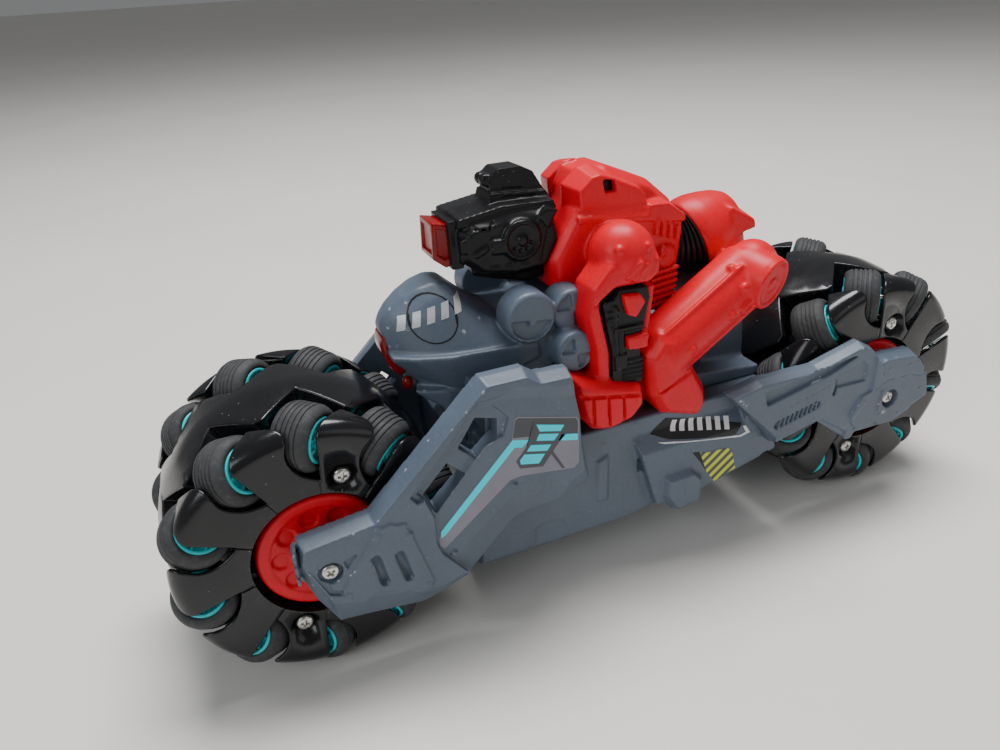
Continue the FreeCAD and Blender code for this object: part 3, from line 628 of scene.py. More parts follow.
shade_smooth(tyre_mesh, rubber, 40)
shade_smooth(rim_mesh, teal, 40)
for node in sorted(name for name in frame["nodes"] if "_roller_" in name):
    joint = JOINTS[node + "_spin"]
    wheel = node.split("_")[0]
    spot = Vector(joint["pos_m"])
    seat = axis_matrix(spot, joint["axis"], spot - AXLE[wheel] * MM)
    seat @= Matrix.Rotation(rng.randrange(4) * math.pi / 2 + rng.uniform(-0.04, 0.04), 4, "Z")
    place_mesh(node + "_tyre", tyre_mesh, seat, node + "_body", "roller_rubber", node)
    place_mesh(node + "_rim", rim_mesh, seat, node + "_body", "teal_plastic", node)

# ---------------------------------------------------------------- screws


def phillips(name, radius, height):
    """Pan head with a cross recess; its top is at height, its axis Z."""
    profile = [(0, 0), (radius, 0), (radius, 0.45 * height), (0.93 * radius, 0.7 * height),
               (0.75 * radius, 0.9 * height), (0.45 * radius, height), (0, height)]
    head = solid(name, [turned(profile)])
    arm, half, floor = 0.62 * radius, 0.13 * radius, 0.35 * height
    cuts = []
    for turn in (0, math.pi / 2):
        spin = Matrix.Rotation(turn, 4, "Z")
        levels = []
        for reach, width, level in ((arm * 0.7, half, floor), (arm, half * 1.4, height + 1)):
            levels.append([spin @ Vector((x * reach, y * width, level))
                           for x, y in ((-1, -1), (1, -1), (1, 1), (-1, 1))])
        cuts.append(loft(*levels))
    carved(head, cuts)
    bevelled(head, 0.08, 2, 35)
    shade_smooth(head.data, steel, 35)
    return mesh_of(head)


plate_screw_mesh = phillips("plate_screw", 2.6, 1.7)
axle_screw_mesh = phillips("axle_screw", 2.6, 1.7)

# ---------------------------------------------------------------- drums, side plates, pins

PITCH = math.radians(36)
PIN_RADIUS, PIN_INWARD, PIN_OUTWARD = 0.98, 8.4, 9.0
SEAM_LEVELS, SEAM_REACH, SEAM_HALF, SEAM_LEAD = (28.45, 30.4), (19.5, 29), 0.2, 0.06
SCREW_CIRCLE, SCREW_SEAT = 25.2, 26.8


def plate_seam(axle, sign, angle):
    """Thin radial slot in the outer face of a side plate."""
    out = Vector((math.cos(angle), 0, math.sin(angle)))
    across = Vector((-math.sin(angle), 0, math.cos(angle))) * SEAM_HALF
    inner, outer = SEAM_REACH
    return loft(*[[axle + out * reach + across * turn + Y_AXIS * sign * level
                   for reach, turn in ((inner, -1), (outer, -1), (outer, 1), (inner, 1))]
                  for level in SEAM_LEVELS])


for wheel in WHEELS:
    body = wheel + "_wheel"
    axle = AXLE[wheel]
    drum = from_node(wheel + "_drum", wheel + "_wheel_drum")
    finish(drum, body, gloss, "black_gloss", wheel + "_wheel_drum", sharp=32)
    plates = from_node(wheel + "_plates", wheel + "_wheel_side_plates")
    pins = []
    seams = []
    for side, sign in SIDES.items():
        first = Vector(JOINTS[f"{wheel}_roller_{side}_01_spin"]["pos_m"]) / MM - axle
        phase = math.atan2(first.z, first.x)
        for number in range(10):
            joint = JOINTS[f"{wheel}_roller_{side}_{number + 1:02d}_spin"]
            spot = Vector(joint["pos_m"]) / MM
            axis = Vector(joint["axis"])
            outward = axis * (1 if axis.y * sign > 0 else -1)
            pins.append(rod(spot - outward * PIN_INWARD, spot + outward * PIN_OUTWARD, PIN_RADIUS, steps=20,
                            edge=0.2))
            seams.append(plate_seam(axle, sign, phase + number * PITCH + sign * SEAM_LEAD))
        for turn in (90, 270):
            angle = phase + math.radians(turn)
            spot = axle + Vector((SCREW_CIRCLE * math.cos(angle), sign * SCREW_SEAT,
                                  SCREW_CIRCLE * math.sin(angle)))
            seat = axis_matrix(spot * MM, (0, sign, 0)) @ Matrix.Rotation(rng.uniform(0, 1.5), 4, "Z")
            place_mesh(f"{wheel}_{side}_plate_screw_{turn}", plate_screw_mesh, seat, body, "steel")
    carved(plates, seams, "EXACT")
    finish(plates, body, gloss, "black_gloss", wheel + "_wheel_side_plates", sharp=32)
    pin_set = solid(wheel + "_roller_pins", pins)
    finish(pin_set, body, steel, "steel", wheel + "_wheel_pins_and_screws", sharp=40)

# ---------------------------------------------------------------- hub caps, motors, axle screws


CAP_RADIUS, CAP_BORE, CAP_FACE, CAP_BACK = 18.7, 2.0, 27.3, 22.3
CAP_ROLL, CAP_STEP, CAP_STEP_DEPTH = 1.4, (15.2, 14.4), 0.35
DIMPLES, DIMPLE_CIRCLE, DIMPLE_EDGE, DIMPLE_DEPTH = 9, 11.6, (3.0, 2.3), 0.7
ARM_BASE = 31.2
SCREW_LEVEL = {"front": 36.6, "rear": 35.8}
MOTOR_HALF = [(0, 22.2), (15.0, 22.2), (16.2, 21.4), (16.2, 12), (15.9, 11.8)]


def smooth_step(value, start, end):
    """Soft change from 0 to 1 between two values."""
    share = min(1.0, max(0.0, (value - start) / (end - start)))
    return share * share * (3 - 2 * share)


def cap_height(x, y):
    """Height of the cap's face: rolled rim, shallow ring step and round dimples."""
    radius = math.hypot(x, y)
    height = CAP_FACE - CAP_STEP_DEPTH * smooth_step(radius, *CAP_STEP)
    rolled = max(0.0, (radius - (CAP_RADIUS - CAP_ROLL)) / CAP_ROLL)
    height -= CAP_ROLL * (1 - math.sqrt(max(0.0, 1 - rolled * rolled)))
    for around in (2 * math.pi * dimple / DIMPLES for dimple in range(DIMPLES)):
        gap = math.hypot(x - DIMPLE_CIRCLE * math.cos(around), y - DIMPLE_CIRCLE * math.sin(around))
        height -= DIMPLE_DEPTH * smooth_step(gap, *DIMPLE_EDGE)
    return height


def cap_mesh(name, rings=44, steps=180):
    """Hub cap with its worked face, its axis Z."""
    radii = [CAP_BORE + (CAP_RADIUS - CAP_BORE) * number / rings for number in range(rings + 1)]
    circles = [arc((0, 0), radius, [360 * step / steps for step in range(steps)]) for radius in radii]
    rows = [[(x, y, cap_height(x, y)) for x, y in circle] for circle in circles]
    rows += [[(x, y, CAP_BACK) for x, y in circle] for circle in (circles[-1], circles[0])]
    verts = [Vector(point) for row in rows for point in row]
    faces = []
    for row in range(len(rows)):
        for step in range(steps):
            after, below = (step + 1) % steps, (row + 1) % len(rows)
            faces.append([row * steps + step, row * steps + after, below * steps + after,
                          below * steps + step])
    cap_solid = solid(name, [(verts, faces)])
    shade_smooth(cap_solid.data, red, 50)
    return mesh_of(cap_solid)


cap = cap_mesh("hub_cap")
motor_shells = []
for wheel in WHEELS:
    axle = AXLE[wheel]
    for side, sign in SIDES.items():
        seat = axis_matrix(axle * MM, (0, sign, 0))
        place_mesh(f"{wheel}_{side}_cap", cap, seat, "chassis", "red_plastic", "hub_caps")
        out = Y_AXIS * sign
        seat = axis_matrix((axle + out * SCREW_LEVEL[wheel]) * MM, out) @ Matrix.Rotation(0.5, 4, "Z")
        place_mesh(f"{wheel}_{side}_axle_screw", axle_screw_mesh, seat, "chassis", "steel")
        motor_shells.append(rod(axle + out * 22.0, axle + out * ARM_BASE, 1.95, edge=0.3))
        motor_shells.append(rod(axle + out * ARM_BASE, axle + out * (SCREW_LEVEL[wheel] + 0.1), 1.2,
                                steps=24))
    motor_shells.append(turned(full(MOTOR_HALF), axle, Y_AXIS, 72))
motors = solid("hub_motors", motor_shells)
finish(motors, "chassis", steel, "steel", "motors_and_axle_screws", sharp=35)

# ---------------------------------------------------------------- fork arms

FORK_FACE = [(109.5, 53.6), (89.2, 55.9), (57.2, 86.2), (53.2, 89.8), (41.2, 89.6), (37.2, 86.6),
             (27.2, 86.2), (24.2, 71.3), (23.7, 55.0), (26.0, 53.5), (44.4, 56.2), (47.4, 55.7),
             (69.9, 38.2), (63.1, 29.2), (70.5, 26.8), (80.1, 27.2), (82.4, 29.0), (93.5, 31.5),
             (95.6, 30.6), (103.9, 33.3), (108.0, 44.2), (110.3, 50.0)]
FORK_BASE = [(110.5, 54.8), (89.6, 57.1), (57.7, 87.5), (53.8, 91.0), (40.8, 90.9), (36.8, 88.0),
             (26.6, 87.5), (23.2, 71.3), (19.2, 46.6), (29.9, 41.8), (44.1, 41.0), (46.5, 39.5),
             (62.0, 24.5), (62.4, 23.9), (69.9, 20.9), (76.7, 19.3), (79.0, 19.5), (92.0, 21.3),
             (95.0, 21.7), (102.6, 22.5), (108.0, 33.0), (111.4, 44.0)]
PANEL_FLOOR = [(55.7, 84.9), (78.2, 61.0), (76.1, 58.5), (74.2, 59.4), (71.6, 51.7), (71.9, 43.0),
               (70.4, 38.6), (62.6, 28.2), (40.0, 42.0), (17.0, 42.0), (17.0, 77.2), (23.4, 78.7),
               (50.1, 84.6)]
PANEL_RIM = [(56.9, 86.9), (78.9, 61.3), (76.8, 58.2), (74.6, 58.6), (72.4, 51.6), (72.6, 43.0), (71.0, 38.3),
             (62.9, 27.4), (40.0, 40.0), (16.0, 40.0), (16.0, 84.6), (27.0, 85.6), (42.0, 89.2)]
POOL = [(51.2, 83.0), (55.0, 83.2), (76.4, 60.9), (74.3, 58.4), (71.0, 52.2), (54.6, 70.6), (48.4, 72.1),
        (46.6, 77.8)]
WINDOWS = [[(56.6, 79.5), (50.2, 77.5), (50.4, 72.3), (57.0, 66.4), (62.2, 71.3)],
           [(66.1, 67.2), (60.9, 62.1), (70.9, 52.9), (73.7, 59.4)]]
LOWER_STEP = [(109.8, 47.0), (106.6, 47.6), (103.8, 38.0), (97.0, 35.2), (97.6, 33.8), (104.6, 36.6),
              (108.4, 44.8)]
ARMOUR = [(89.7, 54.1), (85.1, 55.2), (81.3, 53.3), (79.3, 50.4), (78.3, 46.3), (74.0, 30.5), (74.9, 27.9),
          (79.6, 27.2), (83.4, 29.9), (89.6, 31.9), (95.6, 31.7), (101.0, 33.6), (101.2, 37.4)]


ARM_TOP = 34.0
FORK_PLANE, SWING_PLANE = 38.5, 37.4
SLOTS = (((90.5, 44.4), (88.8, 35.8)), ((83.6, 43.4), (81.7, 34.8)))


def dome(x, z, face, radius, height):
    """Rivet head on a face that looks along Y."""
    profile = [(0, -0.8), (radius, -0.8), (radius, 0.35 * height), (0.7 * radius, 0.8 * height), (0, height)]
    return turned(profile, (x, face, z), (0, 1, 0), 20)


def arm_body(base, face, plane, axle):
    """Plate with a face drawn in from its base, and the boss behind it at the axle."""
    return [slab(base, ARM_BASE, ARM_TOP), loft(ring(base, ARM_TOP - 0.1), ring(face, plane)),
            rod(axle + Y_AXIS * 27.4, axle + Y_AXIS * 32, 9.0)]


def screw_pit(axle, floor, top):
    """Tapered pit around an axle screw."""
    return rod(axle + Y_AXIS * floor, axle + Y_AXIS * top, 3.4, 3.8)


def fork_arm(name):
    """Left fork arm: plate with a sunk panel, windows, raised armour, rivets and front fins."""
    axle = AXLE["front"]
    arm = solid(name, arm_body(FORK_BASE, FORK_FACE, FORK_PLANE, axle))
    slots = [capsule_outline(one, two, 1.25) for one, two in SLOTS]
    cuts = [loft(ring(PANEL_FLOOR, 37.0), ring(PANEL_RIM, 39.4)),
            block(POOL, 35.8, 37.3, -0.5, 0.1)]
    cuts += [block(window, 30.0, 36.9, -0.4, 0.3) for window in WINDOWS]
    cuts += [block(outline, 37.4, 40, -0.25, 0.5) for outline in slots]
    cuts.append(loft(ring([(99.3, 46.6), (94.9, 48.2), (98.7, 43.6)], 37.7),
                     ring([(99.5, 47.0), (94.2, 48.8), (98.8, 42.8)], 40)))
    cuts.append(screw_pit(axle, SCREW_LEVEL["front"], 40))
    cuts.append(slab([(113, 38.5), (110.5, 39), (110.3, 36.8), (113, 36.5)], 35.5, 39.5))
    cuts.append(block(LOWER_STEP, 37.6, 39.6, 0, 0.4))
    adds = [block(ARMOUR, 37.6, 39.15, 0.2, -0.4)]
    adds.append(bar((89.0, 53.6), (81.6, 52.6), 1.1, 38.2, 39.0))
    for x, z in ((89.3, 52.2), (80.3, 49.2), (76.3, 29.6), (99.8, 34.9)):
        adds.append(dome(x, z, 39.0, 1.3, 0.55))
    for x, z in ((66.9, 36.6), (46.3, 54.2)):
        adds.append(dome(x, z, 37.0, 1.1, 1.0))
    adds.append(slab([(111.6, 41), (112.3, 41.5), (112.2, 53.6), (111.2, 54.4)], 33.0, 36.4))
    for z in (42.5, 46.4, 50.6):
        adds.append(bar((112.0, z), (112.1, z + 1.5), 0.5, 33.6, 37.3))
    remeshed(arm, FINE)
    carved(arm, cuts)
    joined(arm, adds)
    remeshed(arm, FINE)
    carved(arm, [block(outline, 37.2, 40, -0.2, 0.6) for outline in slots])
    return finish_arm(arm)


def finish_arm(arm):
    """Last rounding of an arm, then fewer triangles."""
    smoothed(arm, 1)
    return modify(arm, "DECIMATE", ratio=0.45)


def mirrored(obj, name):
    """Copy of a piece on the other side of the middle plane."""
    bm = bmesh.new()
    bm.from_mesh(obj.data)
    bmesh.ops.transform(bm, matrix=Matrix.Diagonal((1, -1, 1, 1)), verts=bm.verts)
    bmesh.ops.reverse_faces(bm, faces=bm.faces)
    mesh = bpy.data.meshes.new(name)
    bm.to_mesh(mesh)
    bm.free()
    return link(name, mesh)


fork_left = fork_arm("fork_arm_shell_left")
fork_right = mirrored(fork_left, "fork_arm_shell_right")
finish(fork_left, "chassis", grey, "grey_plastic", "fork_arm_left")
finish(fork_right, "chassis", grey, "grey_plastic", "fork_arm_right")

# ---------------------------------------------------------------- swing arms

SWING_FACE = [(-32.9, 61.8), (-44.4, 63.8), (-68.5, 63.3), (-87.3, 68.0), (-92.4, 65.2), (-95.2, 60.4),
              (-112.8, 59.4), (-116.6, 55.7), (-123.0, 40.1), (-106.2, 33.0), (-87.2, 33.5), (-71.8, 43.8),
              (-53.0, 39.8), (-52.4, 42.0)]
SWING_BASE = [(-32.4, 62.4), (-44.2, 64.9), (-68.3, 64.4), (-87.7, 69.1), (-93.0, 66.0), (-95.8, 61.4),
              (-113.2, 60.4), (-117.7, 56.1), (-124.5, 39.7), (-106.3, 31.8), (-86.8, 32.3),
              (-72.0, 42.5), (-52.3, 38.4), (-51.4, 41.5)]
TAIL_PLATE = [(-93.8, 63.8), (-95.8, 59.9), (-99.0, 60.8), (-112.4, 59.6), (-113.6, 57.6), (-115.4, 57.2),
              (-116.6, 54.6), (-118.4, 54.0), (-118.2, 51.2), (-120.2, 50.6), (-122.6, 41.8), (-120.4, 39.6),
              (-116.2, 38.6), (-114.0, 36.2), (-106.4, 33.2), (-99.2, 33.4), (-97.6, 35.4), (-88.8, 34.4),
              (-85.6, 38.4), (-89.0, 48.6), (-93.4, 49.8)]


def swing_arm(name):
    """Left swing arm: plate with two pits, panel lines, a ribbed slot and the tail plate."""
    axle = AXLE["rear"]
    shells = arm_body(SWING_BASE, SWING_FACE, SWING_PLANE, axle)
    brace = [(-68.5, 44.5), (-84.6, 32.4), (-88.4, 30.4), (-91.0, 34.0), (-80.0, 43.0)]
    shells += [block(TAIL_PLATE, 36.4, 38.2, 0, -0.4), slab(brace, ARM_BASE, 36.6)]
    arm = remeshed(solid(name, shells), FINE)
    cuts = []
    pit = [(-45.6, 61.2), (-87.2, 65.9), (-73.0, 60.6), (-47.0, 55.4)]
    cuts.append(block(pit, 35.9, 38, -0.6, 0.2))
    pit = [(-75.2, 59.6), (-88.6, 62.9), (-90.8, 60.0), (-90.6, 54.0), (-76.6, 54.6)]
    cuts.append(block(pit, 36.5, 38, -0.6, 0.2))
    slot = capsule_outline((-52.6, 46.8), (-69.2, 50.2), 1.6)
    cuts.append(block(slot, 36.1, 38, -0.3, 0.3))
    cuts.append(bar((-76.4, 52.6), (-77.4, 57.0), 0.75, 36.0, 38.5, 4))
    cuts += groove([(-43.6, 57.0), (-73.8, 63.6)], 0.5, 37.0, 38.5)
    cuts += groove([(-73.0, 60.4), (-73.6, 56.8), (-56.0, 52.8)], 0.5, 37.0, 38.5)
    cuts += groove([(-95.0, 49.6), (-100.4, 52.6), (-112.0, 52.0), (-117.6, 50.0)], 0.45, 37.7, 38.8)
    cuts += groove([(-98.0, 58.6), (-97.6, 53.0)], 0.45, 37.7, 38.8)
    cuts.append(screw_pit(axle, SCREW_LEVEL["rear"], 39.4))
    adds = []
    for step in range(9):
        x, z = -53.4 - 1.95 * step, 46.95 + 0.40 * step
        adds.append(bar((x, z - 1.4), (x - 0.5, z + 1.4), 0.3, 35.9, 37.2, 3))
    wedge = [(-88.6, 49.0), (-84.4, 41.0), (-85.8, 38.2), (-93.0, 45.6)]
    adds.append(block(wedge, 37.2, 38.5, 0, -0.9))
    for x, z in ((-110.4, 56.0), (-100.6, 56.6), (-117.6, 44.4), (-108.6, 36.4), (-99.4, 38.4)):
        adds.append(dome(x, z, 38.1, 0.6, 0.35))
    adds.append(bar((-98.9, 48.2), (-98.0, 40.6), 0.45, 37.6, 38.7, 3))
    adds.append(rod((-86.6, 33.4, 33.2), (-86.6, 37.4, 33.2), 2.3, edge=0.4))
    carved(arm, cuts)
    joined(arm, adds)
    remeshed(arm, FINE)
    return finish_arm(arm)


swing_left = swing_arm("swing_arm_shell_left")
swing_right = mirrored(swing_left, "swing_arm_shell_right")
finish(swing_left, "chassis", grey, "grey_plastic", "swing_arm_left")
finish(swing_right, "chassis", grey, "grey_plastic", "swing_arm_right")

# ---------------------------------------------------------------- printed film


def surface_of(obj):
    """Search tree over an object's faces."""
    return BVHTree.FromPolygons([v.co.copy() for v in obj.data.vertices],
                                [tuple(p.vertices) for p in obj.data.polygons])


FILM_START, FILM_EDGE, FILM_THICK = 45.0, 1.1, 0.1


def film(name, outline, tree, material, lift):
    """Thin film laid from the left side onto a surface, and its mirror image on the right.

    Lift is its height over the surface in millimetres; films that overlap have different lifts.
    """
    bm = bmesh.new()
    corners = [bm.verts.new((x * MM, 0, z * MM)) for x, z in outline]
    bm.faces.new(corners)
    bmesh.ops.triangulate(bm, faces=bm.faces)
    for _ in range(6):
        long_edges = [edge for edge in bm.edges if edge.calc_length() > FILM_EDGE * MM]
        if not long_edges:
            break
        bmesh.ops.subdivide_edges(bm, edges=long_edges, cuts=1, use_grid_fill=False)
        bmesh.ops.triangulate(bm, faces=bm.faces)
    for vert in bm.verts:
        hit, normal, _, _ = tree.ray_cast(Vector((vert.co.x, FILM_START * MM, vert.co.z)), -Y_AXIS)
        if hit is not None:
            vert.co = hit + normal * lift * MM
        else:
            vert.co.y = min((v.co.y for v in bm.verts if v.co.y > 0), default=0.03)
    bmesh.ops.recalc_face_normals(bm, faces=bm.faces)
    if sum(face.normal.y for face in bm.faces) < 0:
        bmesh.ops.reverse_faces(bm, faces=bm.faces)
    mesh = bpy.data.meshes.new(name)
    bm.to_mesh(mesh)
    bm.free()
    piece = link(name, mesh)
    modify(piece, "SOLIDIFY", thickness=FILM_THICK * MM, offset=-1)
    other = mirrored(piece, name + "_right")
    finish(piece, "chassis", material, "decal_film", sharp=30)
    finish(other, "chassis", material, "decal_film", sharp=30)


fork_tree = surface_of(fork_left)
film("fork_film", [(45.2, 76.7), (44.1, 77.2), (25.2, 71.9), (24.3, 70.4), (24.5, 55.6), (26.3, 54.2),
                   (44.2, 56.9), (47.5, 56.4), (69.6, 39.2), (71.0, 40.6), (71.2, 43.0), (69.9, 46.1),
                   (46.3, 70.0)], fork_tree, film_lilac, 0.10)
film("fork_film_dark", [(45.0, 76.2), (44.0, 76.7), (25.4, 71.5), (24.8, 70.2), (24.9, 66.1), (31.0, 67.6),
                        (41.0, 69.6), (46.0, 70.6)], fork_tree, film_dark, 0.14)
film("fork_film_line", [(33.5, 62.8), (34.3, 62.2), (30.3, 55.2), (29.3, 55.1)], fork_tree, film_dark, 0.14)
film("fork_film_stripe", [(46.1, 69.9), (40.8, 68.5), (43.3, 66.6), (45.6, 67.2), (69.1, 43.9), (70.4, 43.4),
                          (70.3, 45.6)], fork_tree, film_teal, 0.17)
film("fork_film_dash", [(30.3, 67.4), (24.9, 66.0), (24.9, 63.8), (31.4, 65.5)], fork_tree, film_teal, 0.17)
film("fork_film_plaque", [(39.4, 74.2), (28.2, 71.0), (27.2, 68.7), (31.4, 64.7), (36.7, 58.0), (44.2, 59.5),
                          (45.4, 62.3), (41.9, 66.2), (39.5, 68.2)], fork_tree, film_dark, 0.17)
for number, shape in enumerate([[(38.4, 73.0), (29.4, 70.4), (30.6, 68.6), (37.4, 70.4)],
                                [(37.6, 69.6), (31.2, 67.9), (32.8, 66.0), (38.6, 67.5)],
                                [(40.4, 66.6), (33.8, 64.9), (35.2, 63.1), (41.8, 64.8)],
                                [(42.6, 64.0), (35.9, 62.3), (38.0, 59.5), (43.9, 60.9), (44.1, 62.4)]],
                               start=1):
    film(f"fork_film_bar_{number}", shape, fork_tree, film_teal, 0.21)

# ---------------------------------------------------------------- main frame

FRAME_SIDE = 26.9
CIRCLE_MARK = Vector((-48.2, 31, 33.0))
POD_FOOT = [(-10.5, 35.5), (-22.5, 36.0), (-27.8, 31.5), (-27.2, 20.5), (-16.0, 18.8), (-9.5, 27.0)]
POD_TOP = [(-12.4, 33.6), (-21.6, 33.9), (-25.0, 30.6), (-24.8, 22.8), (-16.6, 21.2), (-12.2, 27.8)]
frame_piece = from_node("frame_shell", "main_frame")
cuts = [slab([(35.7, 16.5), (35.7, 27.3), (30.0, 28.7), (24.5, 26.8), (21.5, 17.0)], 26.5, 28),
        slab([(-2.7, 49.0), (-6.1, 47.5), (-6.6, 37.4), (-3.5, 37.2)], 26.2, 28),
        turned([(7.1, -1), (7.8, -1), (7.8, 2), (7.1, 2)], CIRCLE_MARK, Y_AXIS, 64),
        slab([(-53.0, 28.2), (-56.0, 28.2), (-56.0, 31.6), (-53.0, 31.6)], 29.6, 32)]
for line in ([(16.4, 27.6), (22.9, 29.4), (24.5, 27.0)], [(45.0, 16.0), (45.0, 30.0), (38.0, 34.0)],
             [(2.0, 24.0), (2.0, 34.0), (-4.0, 37.0)]):
    cuts += groove(line, 0.6, FRAME_SIDE - 0.5, 28)
cuts += groove([(-30.0, 43.6), (-52.0, 43.6)], 0.5, 30.5, 32)
adds = [loft(ring(POD_FOOT, 29.5), ring(POD_TOP, 33.6))]
for z in (17.8, 22.4, 26.9):
    adds.append(dome(37.9, z, FRAME_SIDE if z > 20 else 25.0, 0.8, 0.5))
for x, z in ((-2.0, 56.0), (10.0, 52.0), (14.0, 33.0)):
    adds.append(dome(x, z, FRAME_SIDE, 1.0, 0.5))
adds.append(slab([(8.5, 30.0), (12.5, 31.0), (12.5, 46.0), (8.5, 47.5)], 26.5, 27.8))
moulding(frame_piece, COARSE, 2, both(adds), both(cuts), 2, 0.4)
finish(frame_piece, "chassis", grey, "grey_plastic", "main_frame")

# ---------------------------------------------------------------- cowl and seat


def cowl_width(x):
    """Half width of the cowl seen from above."""
    stations = [(-20, 20), (36, 20), (56, 15.5), (69, 9), (74, 6.5), (80, 6.5)]
    for (x0, w0), (x1, w1) in zip(stations, stations[1:]):
        if x <= x1:
            return w0 + (w1 - w0) * (x - x0) / (x1 - x0)
    return 6.5


def tube(rings):
    """Closed shell through a row of rings with as many points each."""
    count = len(rings[0])
    verts = [Vector(point) for one in rings for point in one]
    faces = [list(range(count)), list(range(len(verts) - 1, len(verts) - count - 1, -1))]
    for start in range(0, len(verts) - count, count):
        faces += [[start + i, start + (i + 1) % count, start + count + (i + 1) % count, start + count + i]
                  for i in range(count)]
    return verts, faces


wing = []
for x, top, proud, drop in ((71.6, 90.8, 2.2, 3.0), (66.0, 90.9, 3.6, 8.0), (56.0, 91.1, 3.2, 12.0),
                            (46.0, 91.3, 2.4, 12.0), (36.0, 91.6, 1.8, 9.0), (29.0, 90.0, 0.6, 5.0)):
    wide = cowl_width(x)
    wing.append([(x, 3, top), (x, wide + proud, top), (x, wide + proud, top - 0.9),
                 (x - 1, wide - 0.8, top - drop), (x - 1, 3, top - drop)])
# Each turbine: centre, radius and the y plane of its face; HOLLOW is the depth of its openings.
TURBINES = [((31.7, 99.3), 8.0, 22.8), ((17.6, 98.6), 6.8, 21.8), ((18.9, 86.4), 6.4, 26.2)]
HOLLOW = 1.5
BROW = 91.0
# Each hood section: x, top, half width, low edge and how far the section leans back.
HOOD = [(72.9, 98.6, 5.6, 93.0, 0.24), (71.6, 101.4, 7.0, 87.0, 0.22), (69.2, 104.2, 9.4, 81.0, 0.16),
        (65.2, 107.2, 12.0, 78.5, 0.1), (60.4, 109.6, 14.4, 76.0, 0.05), (55.4, 110.8, 16.0, 73.0, 0.0),
        (51.4, 110.0, 17.2, 70.0, 0.0), (47.4, 106.2, 18.2, 66.0, 0.0), (43.0, 102.0, 19.2, 62.0, 0.0),
        (37.0, 98.4, 20.0, 60.0, 0.0), (22.0, 97.2, 20.0, 60.0, 0.0)]
hood = []
for x, top, wide, low, slant in HOOD:
    high = top - BROW
    one_side = [(0.34, top - 0.04 * high), (0.60, top - 0.22 * high), (0.76, top - 0.44 * high),
                (0.88, top - 0.72 * high), (1.0, BROW), (0.94, min(BROW - 2, BROW - 0.2 * (BROW - low))),
                (0.78, low + 0.25 * (BROW - low)), (0.68, low)]
    row = [(share * wide, z) for share, z in one_side]
    row += [(-y, z) for y, z in row[::-1]]
    hood.append([(x + slant * (z - top), y, z) for y, z in row])
cowl = from_node("cowl_shell", "upper_cowl")
adds = [tube(wing)]
old_boss = [box((8.0, 8.5, 97.6), (26.0, 24, 110)), box((25.9, -0.5, 78.6), (80, 24, 116))]
cuts = []
for (x, z), radius, out in TURBINES:
    adds.append(turned([(0, -9), (radius, -9), (radius, -1.5), (radius - 0.3, -0.7), (radius - 0.9, -0.15),
                        (radius - 1.6, 0), (0, 0)], (x, out, z), (0, 1, 0), 64))
for number, ((x, z), radius, out) in enumerate(TURBINES):
    inner = radius - 1.3
    if number == 0:
        step = [(x + inner, z + 0.2), (x + 0.9, z - 0.4), (x + 0.9, z - 1.9), (x - 1.3, z - 2.2),
                (x - 1.3, z - 0.9), (x - inner, z - 1.6)]
        cuts.append(slab(step + arc((x, z), inner, range(205, 356, 10)), out - HOLLOW, out + 1))
    else:
        for one in (0, 180):
            wedge = arc((x, z), 0.5, [one + 45]) + arc((x, z), inner, range(one + 6, one + 85, 13))
            cuts.append(slab(wedge, out - HOLLOW * 0.8, out + 1))
carved(remeshed(cowl, COARSE), both(old_boss))
joined(cowl, [tube(hood)])
remeshed(cowl, COARSE)
smoothed(cowl, 12)
joined(cowl, both(adds))
moulding(cowl, MEDIUM, 1, (), both(cuts), 0, 0.45)
finish(cowl, "chassis", grey, "grey_plastic", "upper_cowl")

COWL_RING_CENTRE = (58.4, 100.9)
cowl_tree = surface_of(cowl)
# Thin black film ring on the hood: painted shade standing in for the shadow inside an engraved ring.
for half, start in enumerate((20, 200), start=1):
    turns = range(start, start + 181, 15)
    outer, inner = arc(COWL_RING_CENTRE, 7.0, turns), arc(COWL_RING_CENTRE, 6.6, turns)
    film(f"cowl_mark_{half}", outer + inner[::-1], cowl_tree, film_black, 0.08)
for number in range(1, 6):
    x, z = 72.7 - 4.1 * number, 96.6 + 1.0 * number
    film(f"cowl_bar_{number}", [(x, z), (x - 2.3, z + 0.5), (x - 3.3, z + 4.9), (x - 1.0, z + 4.4)],
         cowl_tree, film_silver, 0.16)

frame_tree = surface_of(frame_piece)
film("pod_hazard", [(-25.6, 40.4), (-28.6, 39.4), (-36.9, 38.8), (-38.9, 37.3), (-41.4, 29.2), (-37.4, 28.0),
                    (-32.4, 26.4), (-28.8, 31.6)], frame_tree, film_hazard, 0.12)
film("pod_hazard_tab", [(-22.4, 41.2), (-25.3, 40.6), (-28.3, 32.4), (-25.9, 36.4)], frame_tree, film_black,
     0.12)
film("pod_band", [(-7.4, 51.0), (-13.6, 55.4), (-42.6, 46.9), (-40.0, 43.2), (-13.6, 48.2)], frame_tree,
     film_black, 0.12)
film("pod_line", [(-11.4, 47.4), (-9.2, 48.3), (-42.0, 41.9), (-46.2, 42.6), (-43.9, 46.0), (-42.9, 45.9),
                  (-44.4, 43.2), (-41.8, 42.6)], frame_tree, film_white, 0.12)
for number in range(7):
    x, z = -15.0 - 3.4 * number, 50.2 - 0.62 * number
    film(f"pod_slash_{number + 1}", [(x, z), (x - 1.9, z - 0.35), (x - 3.1, z + 3.3), (x - 1.2, z + 3.7)],
         frame_tree, film_white, 0.17)

# ---------------------------------------------------------------- lenses

